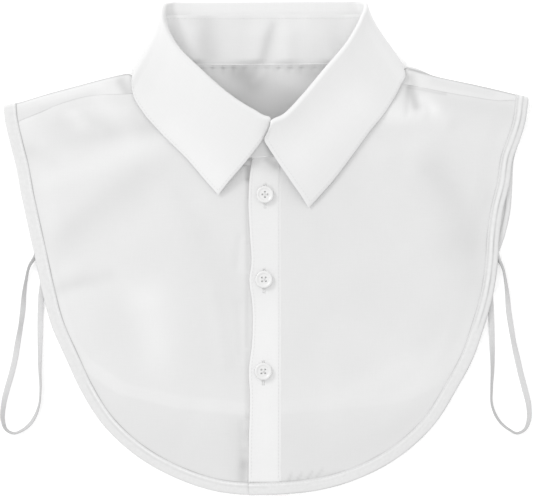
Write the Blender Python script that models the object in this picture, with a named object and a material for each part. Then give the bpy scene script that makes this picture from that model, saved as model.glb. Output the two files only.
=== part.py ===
"""Detachable shirt collar with a short front and back, laid flat on a table.

X runs to the right, Y towards the top of the collar and Z up off the table.
The fronts lie on the back, and the collar is folded down over both.
Right and left are the wearer's, so the right front lies at negative X.
Lengths are in millimetres until a mesh is made.
"""

import math

import bmesh
import bpy
import numpy as np
from mathutils import Matrix

MM = 0.001

# Cloth and seams
CLOTH_WALL = 1.0
BAND_WALL = 1.2
BINDING_WALL = 1.6
BINDING_WIDTH = 8.0
SEAM_GAP = 0.3
NECK_GAP = 0.6
INSET = BINDING_WIDTH + SEAM_GAP

# Heights of one layer over another
OVER_BINDING = BINDING_WALL + SEAM_GAP
OVER_CLOTH = CLOTH_WALL + SEAM_GAP
HEM_SHELF = 8.0
HEM_RAMP = 14.0
COLLAR_RAMP = 9.0
SHOULDER_PUFF = 2.0
SHOULDER_REACH = 30.0
NECK_REST = 4.7
NECK_REACH = 16.0
LAP_RAMP = 9.0
NECK_TURN = 1.4
HAIRPIN_ANGLES = (0.0, 25.0, 55.0, 90.0)
FULL_TURN = (180.0, 155.0, 125.0, 90.0, 55.0, 25.0, 0.0)
READING_STEP = 3.0

# Places that lie inside the garment's outline and inside its neck
GARMENT_MIDDLE = (0.0, 0.0)
NECK_MIDDLE = (0.0, 150.0)
OUTLINE_SAMPLES = 401

# Front band, its buttons and the lap of the two fronts
BAND_RIGHT_EDGE = 9.9
BAND_CLEAR = 18.0
BAND_RAMP = 10.0
LAP_CORNER = (6.0, 59.0)
BAND_TOP = 59.9
BAND_FOOT = -156.3
HEM_Y = -165.5
LEFT_NECK_END = ((17.0, 63.9), (10.5, 62.2))
BUTTON_RADIUS = 5.7
BUTTON_PROFILE = (
    # radius, height: from the middle underneath, round the rim, to the middle of the well
    (0.0, 0.0), (4.9, 0.0), (5.7, 0.8), (5.6, 1.8), (5.0, 2.2), (4.5, 2.1), (4.1, 1.5),
    (0.0, 1.5),
)
BUTTON_STEPS = 24
HOLE_RADIUS = 0.65
HOLE_SPACING = 2.5
HOLE_CUT = 6.0
BUTTONS = (
    # x, y, turn in degrees
    (-0.7, 35.8, 45.0),
    (-1.4, -21.0, 3.0),
    (-1.8, -82.5, 2.0),
)

# Outer edges in plan, each from the shoulder tip down to the hem's middle
RIGHT_FRONT_EDGE = (
    (-175.5, 94.7), (-174.9, 87.1), (-171.5, 71.0), (-167.5, 54.9), (-163.5, 33.5),
    (-158.8, 12.1), (-154.1, -9.4), (-149.4, -30.8), (-143.4, -52.3), (-134.0, -73.7),
    (-124.0, -95.1), (-110.6, -116.6), (-88.4, -138.0), (-60.3, -154.1), (-34.2, -162.8),
    (-4.0, HEM_Y), (5.4, HEM_Y + 0.3),
)
LEFT_FRONT_EDGE = (
    (175.5, 100.2), (173.5, 84.4), (169.5, 71.0), (165.8, 61.0), (163.0, 42.9),
    (158.7, 25.1), (156.3, 7.4), (155.2, -9.4), (152.1, -30.8), (146.1, -52.3),
    (138.7, -73.7), (127.3, -95.1), (113.9, -116.6), (91.8, -138.0), (63.0, -154.1),
    (36.2, -162.1), (12.1, -164.8), (-11.4, HEM_Y),
)
BACK_EDGE = (
    (-175.5, 94.7), (-174.9, 87.1), (-171.5, 71.0), (-167.5, 54.9), (-163.5, 33.5),
    (-158.8, 12.1), (-153.8, -5.4), (-146.0, -26.8), (-140.2, -48.2), (-134.3, -65.0),
    (-126.0, -78.4), (-116.6, -85.8), (-98.5, -97.8), (-59.6, -107.2), (-12.1, -111.9),
    (38.2, -108.5), (83.8, -104.9), (101.8, -99.2), (115.6, -91.1), (130.0, -75.0),
    (138.0, -63.0), (143.3, -48.2), (147.4, -28.1), (154.6, -6.7), (160.1, 8.7),
    (163.5, 24.1), (164.8, 38.9), (166.2, 60.3), (169.5, 71.0), (173.5, 84.4),
    (175.5, 100.2),
)

# Folds over the shoulders and the seams in front of them, each from the tip to the neck
RIGHT_SHOULDER_FOLD = (
    (-175.5, 94.7), (-164.2, 97.4), (-146.7, 102.7), (-126.6, 108.1), (-106.5, 113.4),
    (-97.8, 115.4), (-91.8, 116.2), (-88.4, 114.9), (-84.4, 114.6), (-79.1, 117.0),
    (-74.6, 121.3),
)
LEFT_SHOULDER_FOLD = (
    (175.5, 100.2), (166.2, 102.7), (139.4, 109.0), (112.6, 114.8), (93.5, 120.3),
    (89.8, 117.9), (85.1, 115.6), (79.7, 117.3), (75.3, 121.3),
)
RIGHT_SHOULDER_SEAM = (
    (-165.6, 85.0), (-148.7, 91.8), (-136.7, 96.8), (-119.3, 101.5), (-105.9, 102.8),
    (-92.5, 103.2), (-69.2, 107.2),
)
LEFT_SHOULDER_SEAM = (
    (165.2, 99.0), (156.8, 98.6), (139.4, 101.0), (121.3, 104.0), (103.2, 107.6),
    (94.5, 109.3), (73.1, 115.0),
)

# Collar stations along the neck, from the end of the right tab round the back to the left
COLLAR_COLUMNS = ("seam", "fold", "edge", "roll", "stand_share")
COLLAR = (
    ((7.4, 64.3, 5.0), (10.1, 91.1, 15.6), None, 2.00, 0.90),
    ((-2.7, 60.6, 5.1), (0.9, 85.8, 17.0), (-31.8, 35.5, 5.0), 2.00, 0.87),
    ((-17.4, 63.7, 5.2), (-8.0, 92.5, 17.0), (-40.2, 44.9, 5.1), 2.20, 0.87),
    ((-34.8, 72.0, 5.2), (-22.8, 101.8, 16.8), (-51.6, 58.3, 5.4), 2.30, 0.87),
    ((-50.9, 84.4, 5.2), (-42.2, 118.6, 16.4), (-68.3, 75.0, 5.8), 2.30, 0.86),
    ((-63.0, 98.5, 5.2), (-59.6, 136.7, 15.0), (-82.4, 91.1, 6.4), 2.00, 0.84),
    ((-69.7, 109.9, 5.0), (-66.3, 151.4, 12.5), (-88.9, 103.2, 7.0), 1.70, 0.82),
    ((-73.0, 118.6, 4.6), (-67.0, 159.5, 9.5), (-89.6, 113.2, 7.2), 1.40, 0.80),
    ((-74.2, 122.6, 3.3), (-66.0, 163.1, 5.5), (-87.8, 119.9, 4.4), 1.00, 0.80),
    ((-71.0, 123.1, 2.0), (-62.3, 164.2, 2.4), (-77.7, 119.4, 0.6), 0.70, 0.80),
    ((-61.0, 122.9, 1.8), (-54.9, 164.2, 1.8), (-65.7, 115.2, 0.5), 0.65, 0.80),
    ((-34.2, 122.6, 1.8), (-32.8, 164.2, 1.8), (-35.5, 113.9, 0.5), 0.65, 0.80),
    ((0.0, 122.6, 1.8), (-0.7, 164.4, 1.8), (0.0, 113.9, 0.5), 0.65, 0.80),
    ((34.2, 122.9, 1.8), (32.2, 164.6, 1.8), (34.8, 113.9, 0.5), 0.65, 0.80),
    ((61.0, 123.3, 1.8), (53.6, 164.6, 1.8), (65.7, 115.2, 0.5), 0.65, 0.80),
    ((71.4, 123.5, 2.0), (61.0, 164.6, 2.4), (79.1, 119.3, 0.6), 0.70, 0.80),
    ((74.8, 122.8, 3.3), (65.0, 163.6, 5.5), (89.4, 124.0, 4.4), 1.00, 0.80),
    ((73.7, 118.6, 4.6), (65.3, 160.8, 9.5), (92.8, 117.2, 7.2), 1.40, 0.80),
    ((70.4, 109.9, 5.0), (62.3, 152.8, 12.5), (89.8, 108.5, 7.0), 1.70, 0.82),
    ((63.7, 98.5, 5.2), (53.9, 138.0, 15.0), (81.6, 93.8, 6.5), 2.00, 0.84),
    ((50.9, 84.4, 5.2), (38.2, 119.3, 16.6), (68.8, 77.4, 5.9), 2.30, 0.86),
    ((34.8, 72.0, 5.3), (23.2, 101.5, 17.4), (56.0, 59.8, 5.4), 2.30, 0.87),
    ((16.1, 63.3, 6.2), (11.4, 89.4, 18.6), (43.1, 43.1, 5.1), 2.20, 0.87),
    ((-2.7, 60.8, 6.9), (2.8, 84.6, 19.0), (28.4, 26.8, 5.0), 2.00, 0.87),
    ((-12.1, 60.4, 6.9), (-6.3, 73.4, 13.6), None, 2.00, 0.87),
)
FIRST_FRONT, LAST_FRONT = 1, 23
STEPS_PER_STATION = 2
RIGHT_CREASE, LEFT_CREASE = 8, 16
RIGHT_SEAM_STATION, LEFT_SEAM_STATION = 5.75, 17.5
COLLAR_LIFT_EDGE = 112.0
COLLAR_LIFT_HALF = 92.0

# Soft folds pressed into the fronts: ends in plan, half width and height
FOLDS = (
    # x0, y0, x1, y1, half width, height
    (-144.0, 6.0, -80.0, 46.0, 9.0, -0.8),
    (-140.0, 30.0, -92.0, 62.0, 12.0, 1.0),
    (-139.0, -28.0, -112.0, -20.0, 4.0, -0.6),
    (-100.0, -50.0, -50.0, -60.0, 26.0, 1.1),
    (-15.0, -60.0, -16.0, -140.0, 5.0, -0.6),
    (-24.0, -20.0, -28.0, -120.0, 8.0, 0.9),
    (90.0, 56.0, 140.0, 5.0, 10.0, -0.9),
    (110.0, 66.0, 146.0, 32.0, 10.0, 1.0),
    (60.0, -20.0, 110.0, -40.0, 26.0, 1.1),
    (98.0, 102.0, 98.0, 88.0, 5.0, -0.9),
)
BELLY = 1.0

# Left edge of the front band, which wavers a little
BAND_LEFT_EDGE = (
    (-9.4, BAND_TOP), (-10.7, 50.2), (-11.7, 35.5), (-10.7, 8.7), (-9.7, -9.4),
    (-11.1, -22.1), (-9.4, -34.8), (-9.4, -65.0), (-11.4, -81.7), (-10.7, -98.5),
    (-11.4, -128.6), (-11.7, BAND_FOOT),
)

# Flat elastic loops: route in plan, height and turn of the flat about its own line
ELASTIC_WIDTH = 4.0
ELASTIC_THICKNESS = 0.9
TABLE_GAP = 0.1
LOOP_POINTS = 48
RIGHT_LOOP = (
    # x, y, lift, turn in degrees
    (-157.5, -5.4, 1.9, 5.0), (-159.0, -12.1, 0.8, 25.0), (-160.6, -21.4, 0.0, 55.0),
    (-162.0, -30.8, 0.0, 60.0), (-162.9, -41.5, 0.0, 10.0), (-164.3, -52.3, 0.0, 5.0),
    (-166.2, -63.0, 0.0, 0.0), (-168.0, -73.7, 0.0, 0.0), (-170.5, -84.4, 0.0, 5.0),
    (-173.6, -95.1, 0.0, 10.0), (-175.9, -105.9, 0.0, 20.0), (-176.2, -115.5, 0.0, 35.0),
    (-173.8, -121.7, 0.0, 60.0), (-169.0, -124.0, 0.0, 60.0), (-163.0, -121.9, 0.0, 50.0),
    (-157.3, -117.0, 0.0, 25.0), (-154.0, -111.4, 0.0, 20.0), (-151.9, -105.0, 0.0, 60.0),
    (-151.0, -95.1, 0.0, 75.0), (-151.4, -81.7, 0.0, 35.0), (-151.3, -61.6, 0.0, 5.0),
    (-151.1, -41.5, 0.0, 0.0), (-150.8, -34.5, 0.0, 0.0), (-150.4, -29.0, 0.0, 0.0),
)
LEFT_LOOP = (
    # x, y, lift, turn in degrees
    (157.9, -6.6, 1.9, -5.0), (159.0, -14.0, 0.8, -40.0), (160.2, -21.4, 0.0, -60.0),
    (161.5, -30.8, 0.0, -35.0), (162.4, -41.5, 0.0, -10.0), (164.0, -52.3, 0.0, -5.0),
    (165.8, -63.0, 0.0, 0.0), (168.2, -73.7, 0.0, 0.0), (170.7, -84.4, 0.0, -5.0),
    (173.5, -95.1, 0.0, -10.0), (175.9, -105.9, 0.0, -25.0), (175.9, -115.5, 0.0, -40.0),
    (172.9, -121.9, 0.0, -60.0), (168.0, -124.0, 0.0, -60.0), (162.6, -121.4, 0.0, -30.0),
    (157.0, -116.8, 0.0, -15.0), (153.4, -111.2, 0.0, -20.0), (151.2, -104.5, 0.5, -45.0),
    (151.0, -95.1, 0.5, -45.0), (151.6, -81.7, 0.0, -20.0), (151.3, -61.6, 0.0, 0.0),
    (151.0, -46.5, 0.0, 0.0), (151.2, -38.0, 0.0, 0.0), (151.6, -31.2, 0.0, 0.0),
)

COTTON = (0.86, 0.865, 0.87, 1.0)
COTTON_CRISP = (0.90, 0.90, 0.90, 1.0)
ELASTIC = (0.72, 0.73, 0.74, 1.0)
BUTTON_WHITE = (0.88, 0.88, 0.87, 1.0)


# Curves and fields


def curve(points, at):
    """Smooth curve through the points, read at shares of its chord length."""
    points = np.asarray(points, float)
    chord = np.linalg.norm(np.diff(points[:, :3], axis=0), axis=1)
    reach = np.concatenate([[0.0], np.cumsum(chord)])
    return through(points, reach, np.asarray(at, float) * reach[-1])


def through(points, knots, at):
    """Cubic through points at given knots, its slopes read from the neighbours."""
    slope = np.gradient(points, knots, axis=0)
    cell = np.clip(np.searchsorted(knots, at, side="right") - 1, 0, len(knots) - 2)
    width = (knots[cell + 1] - knots[cell])[:, None]
    t = (at - knots[cell])[:, None] / width
    start, end = points[cell], points[cell + 1]
    keep = 1 - t * t * (3 - 2 * t)
    leave = t * (1 - t) ** 2 * width * slope[cell]
    arrive = t * t * (t - 1) * width * slope[cell + 1]
    return keep * start + (1 - keep) * end + leave + arrive


def ramp(t):
    """Smooth step from 0 to 1."""
    t = np.clip(t, 0.0, 1.0)
    return t * t * (3 - 2 * t)


def inward(points, towards):
    """Unit normals in plan of a row of points, on the side of the given point."""
    along = np.gradient(points[:, :2], axis=0)
    across = np.stack([-along[:, 1], along[:, 0]], axis=1)
    across /= np.linalg.norm(across, axis=1)[:, None]
    side = np.sum(across * (np.asarray(towards) - points[:, :2]), axis=1)
    return across * np.where(side < 0, -1.0, 1.0)[:, None]


def inset(points, towards, distance):
    """The row of points moved inwards in plan."""
    return points[:, :2] + inward(points, towards) * distance


def segment_distance(x, y, line):
    """Distance in plan from each place to a line of straight pieces."""
    nearest = np.full(np.shape(x), 1e9)
    for (x0, y0), (x1, y1) in zip(line[:-1], line[1:]):
        dx, dy = x1 - x0, y1 - y0
        share = np.clip(((x - x0) * dx + (y - y0) * dy) / (dx * dx + dy * dy), 0, 1)
        nearest = np.minimum(nearest, np.hypot(x - x0 - share * dx, y - y0 - share * dy))
    return nearest


def is_inside(x, y, outline):
    """Whether each place lies inside a closed outline, by counting its crossings."""
    inside = np.zeros(np.shape(x), bool)
    for (x0, y0), (x1, y1) in zip(outline, outline[1:] + outline[:1]):
        if y0 == y1:
            continue
        crosses = (y0 > y) != (y1 > y)
        inside ^= crosses & (x < x0 + (y - y0) * (x1 - x0) / (y1 - y0))
    return inside


def station(column, at):
    """One column of the collar's table, read between its stations."""
    place = COLLAR_COLUMNS.index(column)
    rows = [row for row in COLLAR if row[place] is not None]
    first = next(i for i, row in enumerate(COLLAR) if row[place] is not None)
    values = np.array([row[place] for row in rows], float).reshape(len(rows), -1)
    reach = [0.0]
    for i in range(len(COLLAR) - 1):
        seam = math.dist(COLLAR[i][0], COLLAR[i + 1][0])
        fold = math.dist(COLLAR[i][1], COLLAR[i + 1][1])
        reach.append(reach[-1] + (seam + fold) / 2)
    knots = np.array(reach[first:first + len(rows)])
    return through(values, knots, np.interp(at, range(len(COLLAR)), reach))


FRONT_SEAM = [tuple(p[:2]) for p in station("seam", np.linspace(RIGHT_CREASE, FIRST_FRONT, 15))]
FRONT_SEAM += [tuple(p[:2]) for p in station("seam", np.linspace(LAST_FRONT, LEFT_CREASE, 15))]
BACK_OUTLINE = list(BACK_EDGE) + list(LEFT_SHOULDER_FOLD[1:]) + list(RIGHT_SHOULDER_FOLD[::-1])


def back_rest(x, y):
    """Height of the back's underside: flat, and raised where the folded collar lies below."""
    below = 1 - ramp((COLLAR_LIFT_EDGE - y) / COLLAR_RAMP)
    beside = 1 - ramp((np.abs(x) - COLLAR_LIFT_HALF) / COLLAR_RAMP)
    return OVER_CLOTH * below * beside


def front_rest(x, y):
    """Height of the fronts' underside: on the back and its binding, higher at the shoulders
    and the neck, down to the table past the back's hem, with soft folds."""
    outside = segment_distance(x, y, BACK_OUTLINE) * ~is_inside(x, y, BACK_OUTLINE)
    cover = 1 - ramp((outside - HEM_SHELF) / HEM_RAMP)
    rest = OVER_BINDING * cover
    shoulder = np.minimum(
        segment_distance(x, y, RIGHT_SHOULDER_FOLD), segment_distance(x, y, LEFT_SHOULDER_FOLD)
    )
    rest = rest + SHOULDER_PUFF * np.exp(-(shoulder / SHOULDER_REACH) ** 2)
    edge = np.minimum(
        segment_distance(x, y, RIGHT_FRONT_EDGE), segment_distance(x, y, LEFT_FRONT_EDGE)
    )
    middle = ramp((edge - BINDING_WIDTH) / (2 * BINDING_WIDTH)) * cover
    middle = middle * ramp((np.abs(x) - BAND_CLEAR) / BAND_RAMP)
    folds = BELLY
    for x0, y0, x1, y1, half_width, height in FOLDS:
        away = segment_distance(x, y, [(x0, y0), (x1, y1)])
        folds = folds + height * np.exp(-(away / half_width) ** 2)
    rest = rest + middle * folds
    near = np.exp(-(segment_distance(x, y, FRONT_SEAM) / NECK_REACH) ** 2)
    return rest + (NECK_REST - rest) * near


def left_front_rest(x, y):
    """As front_rest, raised beside the band that lies over the right front."""
    return front_rest(x, y) + OVER_CLOTH * (1 - ramp((x - BAND_RIGHT_EDGE) / LAP_RAMP))


def left_binding_rest(x, y):
    """As front_rest, raised where this binding crosses the end of the right one."""
    return front_rest(x, y) + OVER_BINDING * (1 - ramp((x - BAND_RIGHT_EDGE) / LAP_RAMP))


# Meshes


def material(name, colour, roughness):
    made = bpy.data.materials.new(name)
    made.use_nodes = True
    shader = made.node_tree.nodes["Principled BSDF"]
    shader.inputs["Base Color"].default_value = colour
    shader.inputs["Roughness"].default_value = roughness
    shader.inputs["Metallic"].default_value = 0.0
    return made


def solid(name, points, faces, colour, roughness=0.85):
    """Closed mesh object from points in millimetres, its faces turned outwards."""
    used = sorted({i for face in faces for i in face})
    number = {old: new for new, old in enumerate(used)}
    mesh = bpy.data.meshes.new(name)
    places = [tuple(points[i] * MM) for i in used]
    mesh.from_pydata(places, [], [[number[i] for i in face] for face in faces])
    work = bmesh.new()
    work.from_mesh(mesh)
    bmesh.ops.recalc_face_normals(work, faces=work.faces)
    work.to_mesh(mesh)
    work.free()
    mesh.shade_smooth()
    mesh.set_sharp_from_angle(angle=math.radians(50))
    mesh.materials.append(material(name + "_cloth", colour, roughness))
    made = bpy.data.objects.new(name, mesh)
    bpy.context.scene.collection.objects.link(made)
    return made


def wall(name, middle, thickness, colour, missing=None):
    """Cloth wall on both sides of a grid of middle points, with its rims closed."""
    rows, columns = middle.shape[:2]
    missing = set(missing or ())
    facing = np.cross(middle[1:, 1:] - middle[:-1, :-1], middle[1:, :-1] - middle[:-1, 1:])
    for r, c in missing:
        facing[r, c] = 0.0
    normal = np.zeros_like(middle)
    for down in (0, 1):
        for right in (0, 1):
            normal[down:rows - 1 + down, right:columns - 1 + right] += facing
    length = np.linalg.norm(normal, axis=2)[:, :, None]
    half = normal / np.maximum(length, 1e-9) * thickness / 2
    points = np.concatenate([(middle + half).reshape(-1, 3), (middle - half).reshape(-1, 3)])
    other = rows * columns
    cells = {(r, c) for r in range(rows - 1) for c in range(columns - 1)} - missing
    faces = []
    for r, c in sorted(cells):
        a, b = r * columns + c, r * columns + c + 1
        d, e = a + columns, b + columns
        faces.append((a, b, e, d))
        faces.append((a + other, d + other, e + other, b + other))
        rims = (((r - 1, c), a, b), ((r, c + 1), b, e), ((r + 1, c), e, d), ((r, c - 1), d, a))
        for neighbour, start, end in rims:
            if neighbour not in cells:
                faces.append((end, start, start + other, end + other))
    return solid(name, points, faces, colour)


def patch(top, inner, bottom, outer, shares):
    """Plan points between four edge rows: top and bottom run outer to inner."""
    u = np.linspace(0, 1, len(top))[None, :, None]
    v = np.array(shares)[:, None, None]
    between_rows = (1 - v) * top[None] + v * bottom[None]
    between_sides = (1 - u) * outer[:, None] + u * inner[:, None]
    top_corners = (1 - u) * top[0] + u * top[-1]
    bottom_corners = (1 - u) * bottom[0] + u * bottom[-1]
    return between_rows + between_sides - (1 - v) * top_corners - v * bottom_corners


def lay(plan, rest, thickness):
    """Middle points of a wall whose underside lies at the rest height."""
    height = rest(plan[..., 0], plan[..., 1]) + thickness / 2
    return np.concatenate([plan, height[..., None]], axis=-1)


# Back, with its shoulders folded forward

BACK_SIDE = 0.315
SHOULDER_STEPS = 6
BACK_SHARES = (
    0.0, 0.042, 0.085, 0.14, 0.21, 0.29, 0.37, 0.45, 0.53, 0.61, 0.69, 0.77, 0.85, 0.93, 1.0,
)
FLAP_ROWS = 3


def shoulder_ridge(fold_line, steps):
    """Middle of the wall along the shoulder fold: plan, low height and turn radius."""
    ridge = curve(fold_line, np.linspace(0, 1, OUTLINE_SAMPLES))
    tip = np.argmax(np.abs(np.abs(ridge[:, 0]) <= abs(fold_line[0][0]) - INSET))
    ridge = curve(ridge[tip:], np.linspace(0, 1, steps + 1))
    low = back_rest(ridge[:, 0], ridge[:, 1] - READING_STEP)
    radius = (front_rest(ridge[:, 0], ridge[:, 1] - READING_STEP) - low) / 2
    return ridge, low + CLOTH_WALL / 2, radius


def back_panel():
    right, right_low, right_radius = shoulder_ridge(RIGHT_SHOULDER_FOLD, SHOULDER_STEPS)
    left, left_low, left_radius = shoulder_ridge(LEFT_SHOULDER_FOLD, SHOULDER_STEPS)
    neck_steps = (LEFT_CREASE - RIGHT_CREASE) * STEPS_PER_STATION
    neck = station("seam", np.linspace(RIGHT_CREASE, LEFT_CREASE, neck_steps + 1)[1:-1])
    neck_low = back_rest(neck[:, 0], neck[:, 1]) + CLOTH_WALL / 2
    neck_rise = neck[:, 2] - neck_low
    neck_top = np.stack([neck[:, 0], neck[:, 1] - SEAM_GAP - neck_rise / 2], axis=1)
    top = np.concatenate([right, neck_top, left[::-1]])
    low = np.concatenate([right_low, neck_low, left_low[::-1]])
    rise = np.concatenate([right_radius, neck_rise, left_radius[::-1]])
    turn = np.concatenate([right_radius, np.full(len(neck), NECK_TURN), left_radius[::-1]])

    def hairpin(degrees):
        angle = math.radians(degrees)
        y = top[:, 1] - turn * (1 - math.sin(angle))
        return np.stack([top[:, 0], y, low + rise * (1 - math.cos(angle))], axis=1)

    turned = [hairpin(degrees) for degrees in HAIRPIN_ANGLES[::-1]]
    edge = inset(curve(BACK_EDGE, np.linspace(0, 1, OUTLINE_SAMPLES)), GARMENT_MIDDLE, INSET)
    start = turned[-1]
    sides = BACK_SIDE * np.array(BACK_SHARES)
    right_side = curve(edge, sides)
    left_side = curve(edge, 1 - sides)
    for side, corner in ((right_side, start[0]), (left_side, start[-1])):
        fade = (1 - np.array(BACK_SHARES))[:, None] ** 3
        side += (corner[:2] - side[0]) * fade
    bottom = curve(edge, np.linspace(BACK_SIDE, 1 - BACK_SIDE, len(top)))
    plan = patch(start[:, :2], left_side, bottom, right_side, BACK_SHARES)
    main = lay(plan[1:], back_rest, CLOTH_WALL)

    seam = np.concatenate([
        curve(RIGHT_SHOULDER_SEAM, np.linspace(0, 1, SHOULDER_STEPS + 1)),
        neck[:, :2],
        curve(LEFT_SHOULDER_SEAM, np.linspace(1, 0, SHOULDER_STEPS + 1)),
    ])
    over = [hairpin(180 - degrees) for degrees in HAIRPIN_ANGLES[:-1]]
    flap = []
    for share in np.linspace(1, 0, FLAP_ROWS + 1)[:-1]:
        row = over[0][:, :2] * (1 - share) + seam * share
        flap.append(lay(row, front_rest, CLOTH_WALL))
    forward = np.stack(flap + over)
    ends = [SHOULDER_STEPS, SHOULDER_STEPS + neck_steps]
    for row in forward:
        for axis in (1, 2):
            row[ends[0] + 1:ends[1], axis] = np.interp(neck[:, 0], row[ends, 0], row[ends, axis])
    middle = np.concatenate([forward, np.stack(turned), main])
    missing = [(r, c) for r in range(len(forward)) for c in range(*ends)]
    return wall("back_panel", middle, CLOTH_WALL, COTTON, missing)


# Fronts

FRONT_COLUMNS = 2 * SHOULDER_STEPS
CENTRE_ROWS = 18
FRONT_SIDE = 0.60
BAND_STEPS = 3


def front_panel(name, seam, neck, corner, outline, rest):
    """One front: shoulder seam on top, neck seam and centre line inside, binding outside."""
    neck_line = neck[:, :2] - inward(neck, NECK_MIDDLE) * NECK_GAP
    centre = np.linspace(corner, (corner[0], BAND_FOOT), CENTRE_ROWS + 1)
    inner = np.concatenate([neck_line[:-1], centre])
    rows = len(inner)
    edge = inset(curve(outline, np.linspace(0, 1, OUTLINE_SAMPLES)), GARMENT_MIDDLE, INSET)
    begin = np.argmin(np.hypot(*(edge - np.array(seam[0])).T)) + 2
    end = np.argmin(np.abs(edge[:, 0] - corner[0]))
    edge = edge[begin:end + 1]
    outer = curve(edge, np.linspace(0, FRONT_SIDE, rows))
    bottom = curve(edge, np.linspace(FRONT_SIDE, 1, FRONT_COLUMNS + 1))
    bottom[-1] = inner[-1]
    top = curve(seam, np.linspace(0, 1, SHOULDER_STEPS + 1)) - (0, SEAM_GAP)
    top = np.insert(top, range(1, SHOULDER_STEPS + 1), (top[:-1] + top[1:]) / 2, axis=0)
    top[0] = outer[0]
    inner[0] = top[-1]
    plan = patch(top, inner, bottom, outer, np.linspace(0, 1, rows))
    if outline[0][0] > 0:
        plan = plan[:, ::-1]
    return wall(name, lay(plan, rest, CLOTH_WALL), CLOTH_WALL, COTTON)


def seam_stations(start, end):
    """The start, then each collar column up to the end, so that both edges bend alike."""
    columns = np.arange(FIRST_FRONT, LAST_FRONT + 0.1, 1 / STEPS_PER_STATION)
    between = columns[(columns - start) * (columns - end) <= 0]
    ordered = sorted(set(between) - {start}, reverse=start > end)
    return np.array([start] + ordered)


def front_panels():
    right_neck = station("seam", seam_stations(RIGHT_SEAM_STATION, FIRST_FRONT))
    left_neck = station("seam", seam_stations(LEFT_SEAM_STATION, LAST_FRONT))
    left_neck[-2:, :2] = LEFT_NECK_END
    band_corner = (BAND_RIGHT_EDGE + SEAM_GAP, BAND_TOP)
    front_panel(
        "right_front", RIGHT_SHOULDER_SEAM, right_neck, LAP_CORNER, RIGHT_FRONT_EDGE, front_rest
    )
    front_panel(
        "left_front", LEFT_SHOULDER_SEAM, left_neck, band_corner, LEFT_FRONT_EDGE,
        left_front_rest,
    )


def front_band():
    """Doubled band down the left front, over the right front."""
    y = np.linspace(BAND_TOP, BAND_FOOT, CENTRE_ROWS + 1)
    wavy = curve(BAND_LEFT_EDGE, np.linspace(0, 1, OUTLINE_SAMPLES))
    left = np.stack([np.interp(-y, -wavy[:, 1], wavy[:, 0]), y], axis=1)
    right = np.stack([np.full(len(left), BAND_RIGHT_EDGE), left[:, 1]], axis=1)
    share = np.linspace(0, 1, BAND_STEPS + 1)[None, :, None]
    plan = left[:, None] * (1 - share) + right[:, None] * share
    middle = lay(plan, front_rest, BAND_WALL)
    middle[..., 2] += OVER_CLOTH
    return wall("front_band", middle, BAND_WALL, COTTON_CRISP)


# Bindings

BINDING_OFFSETS = np.array([0.0, BINDING_WIDTH / 2, BINDING_WIDTH])
BINDING_STEPS = 60
BACK_BINDING_STEPS = 63
BINDING_LIP = 2.0


def binding_strip(name, outline, fold_line, rest):
    """Binding of one front, from the hem's middle up the side and over the shoulder tip."""
    edge = curve(outline, np.linspace(1, 0, BINDING_STEPS + 1))
    across = inward(edge, GARMENT_MIDDLE)
    fold = curve(fold_line, np.linspace(0, 1, OUTLINE_SAMPLES))
    tip_x = fold[0, 0] - BINDING_OFFSETS * np.sign(fold[0, 0])
    tip_y = np.array([fold[np.argmin(np.abs(fold[:, 0] - x)), 1] for x in tip_x])
    radius = rest(tip_x, tip_y - READING_STEP) / 2
    below = edge[:, 1] < tip_y[0] - radius[0] - READING_STEP
    plan = edge[below, None] + across[below, None] * BINDING_OFFSETS[None, :, None]
    rows = list(lay(plan, rest, BINDING_WALL))
    low = BINDING_WALL / 2
    for degrees in FULL_TURN:
        angle = math.radians(degrees)
        y = tip_y - radius * (1 - math.sin(angle))
        rows.append(np.stack([tip_x, y, low + radius * (1 - math.cos(angle))], axis=1))
    rows.append(np.stack([tip_x, tip_y - radius - BINDING_LIP, np.full(3, low)], axis=1))
    middle = np.stack(rows)
    if fold[0, 0] > 0:
        middle = middle[:, ::-1]
    return wall(name, middle, BINDING_WALL, COTTON_CRISP)


def back_binding():
    """Binding of the back, from one shoulder tip round the hem to the other."""
    edge = curve(BACK_EDGE, np.linspace(0, 1, OUTLINE_SAMPLES))
    tip_gap = OVER_BINDING + BINDING_LIP + SEAM_GAP
    keep = (edge[:, 1] < edge[0, 1] - tip_gap) | (edge[:, 0] > 0)
    keep &= (edge[:, 1] < edge[-1, 1] - tip_gap) | (edge[:, 0] < 0)
    edge = curve(edge[keep], np.linspace(0, 1, BACK_BINDING_STEPS + 1))
    across = inward(edge, GARMENT_MIDDLE)
    plan = edge[:, None] + across[:, None] * BINDING_OFFSETS[None, :, None]
    low = np.full(plan.shape[:2] + (1,), BINDING_WALL / 2)
    return wall("back_binding", np.concatenate([plan, low], axis=2), BINDING_WALL, COTTON_CRISP)


# Collar

STAND_STEPS = 3
ROLL_ANGLES = (0.0, 36.0, 72.0, 108.0, 144.0, 180.0)
LEAF_SHARES = (0.14, 0.32, 0.52, 0.76, 1.0)

# How far the left leaf's front edge bows over the opening, at each of the leaf's rows
LEAF_BOW = (4.3, 1.4, 0.5, 0.5, 0.0)
BOW_FADE = (0.35, 1.0)


def collar_frames(at):
    """Seam, fold, rise direction and outward direction at each station."""
    seam = station("seam", at)
    fold = station("fold", at)
    rise = fold - seam
    rise /= np.linalg.norm(rise, axis=1)[:, None]
    along = np.gradient(seam + fold, axis=0)
    out = np.cross(rise, along)
    out /= np.linalg.norm(out, axis=1)[:, None]
    return seam, fold, rise, out


def collar_stand():
    at = np.linspace(0, len(COLLAR) - 1, (len(COLLAR) - 1) * STEPS_PER_STATION + 1)
    seam, fold, _, _ = collar_frames(at)
    share = station("stand_share", at)
    up = np.linspace(0, 1, STAND_STEPS + 1)[:, None, None]
    middle = seam[None] + (fold - seam)[None] * share[None] * up
    return wall("collar_stand", middle, CLOTH_WALL, COTTON_CRISP)


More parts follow.
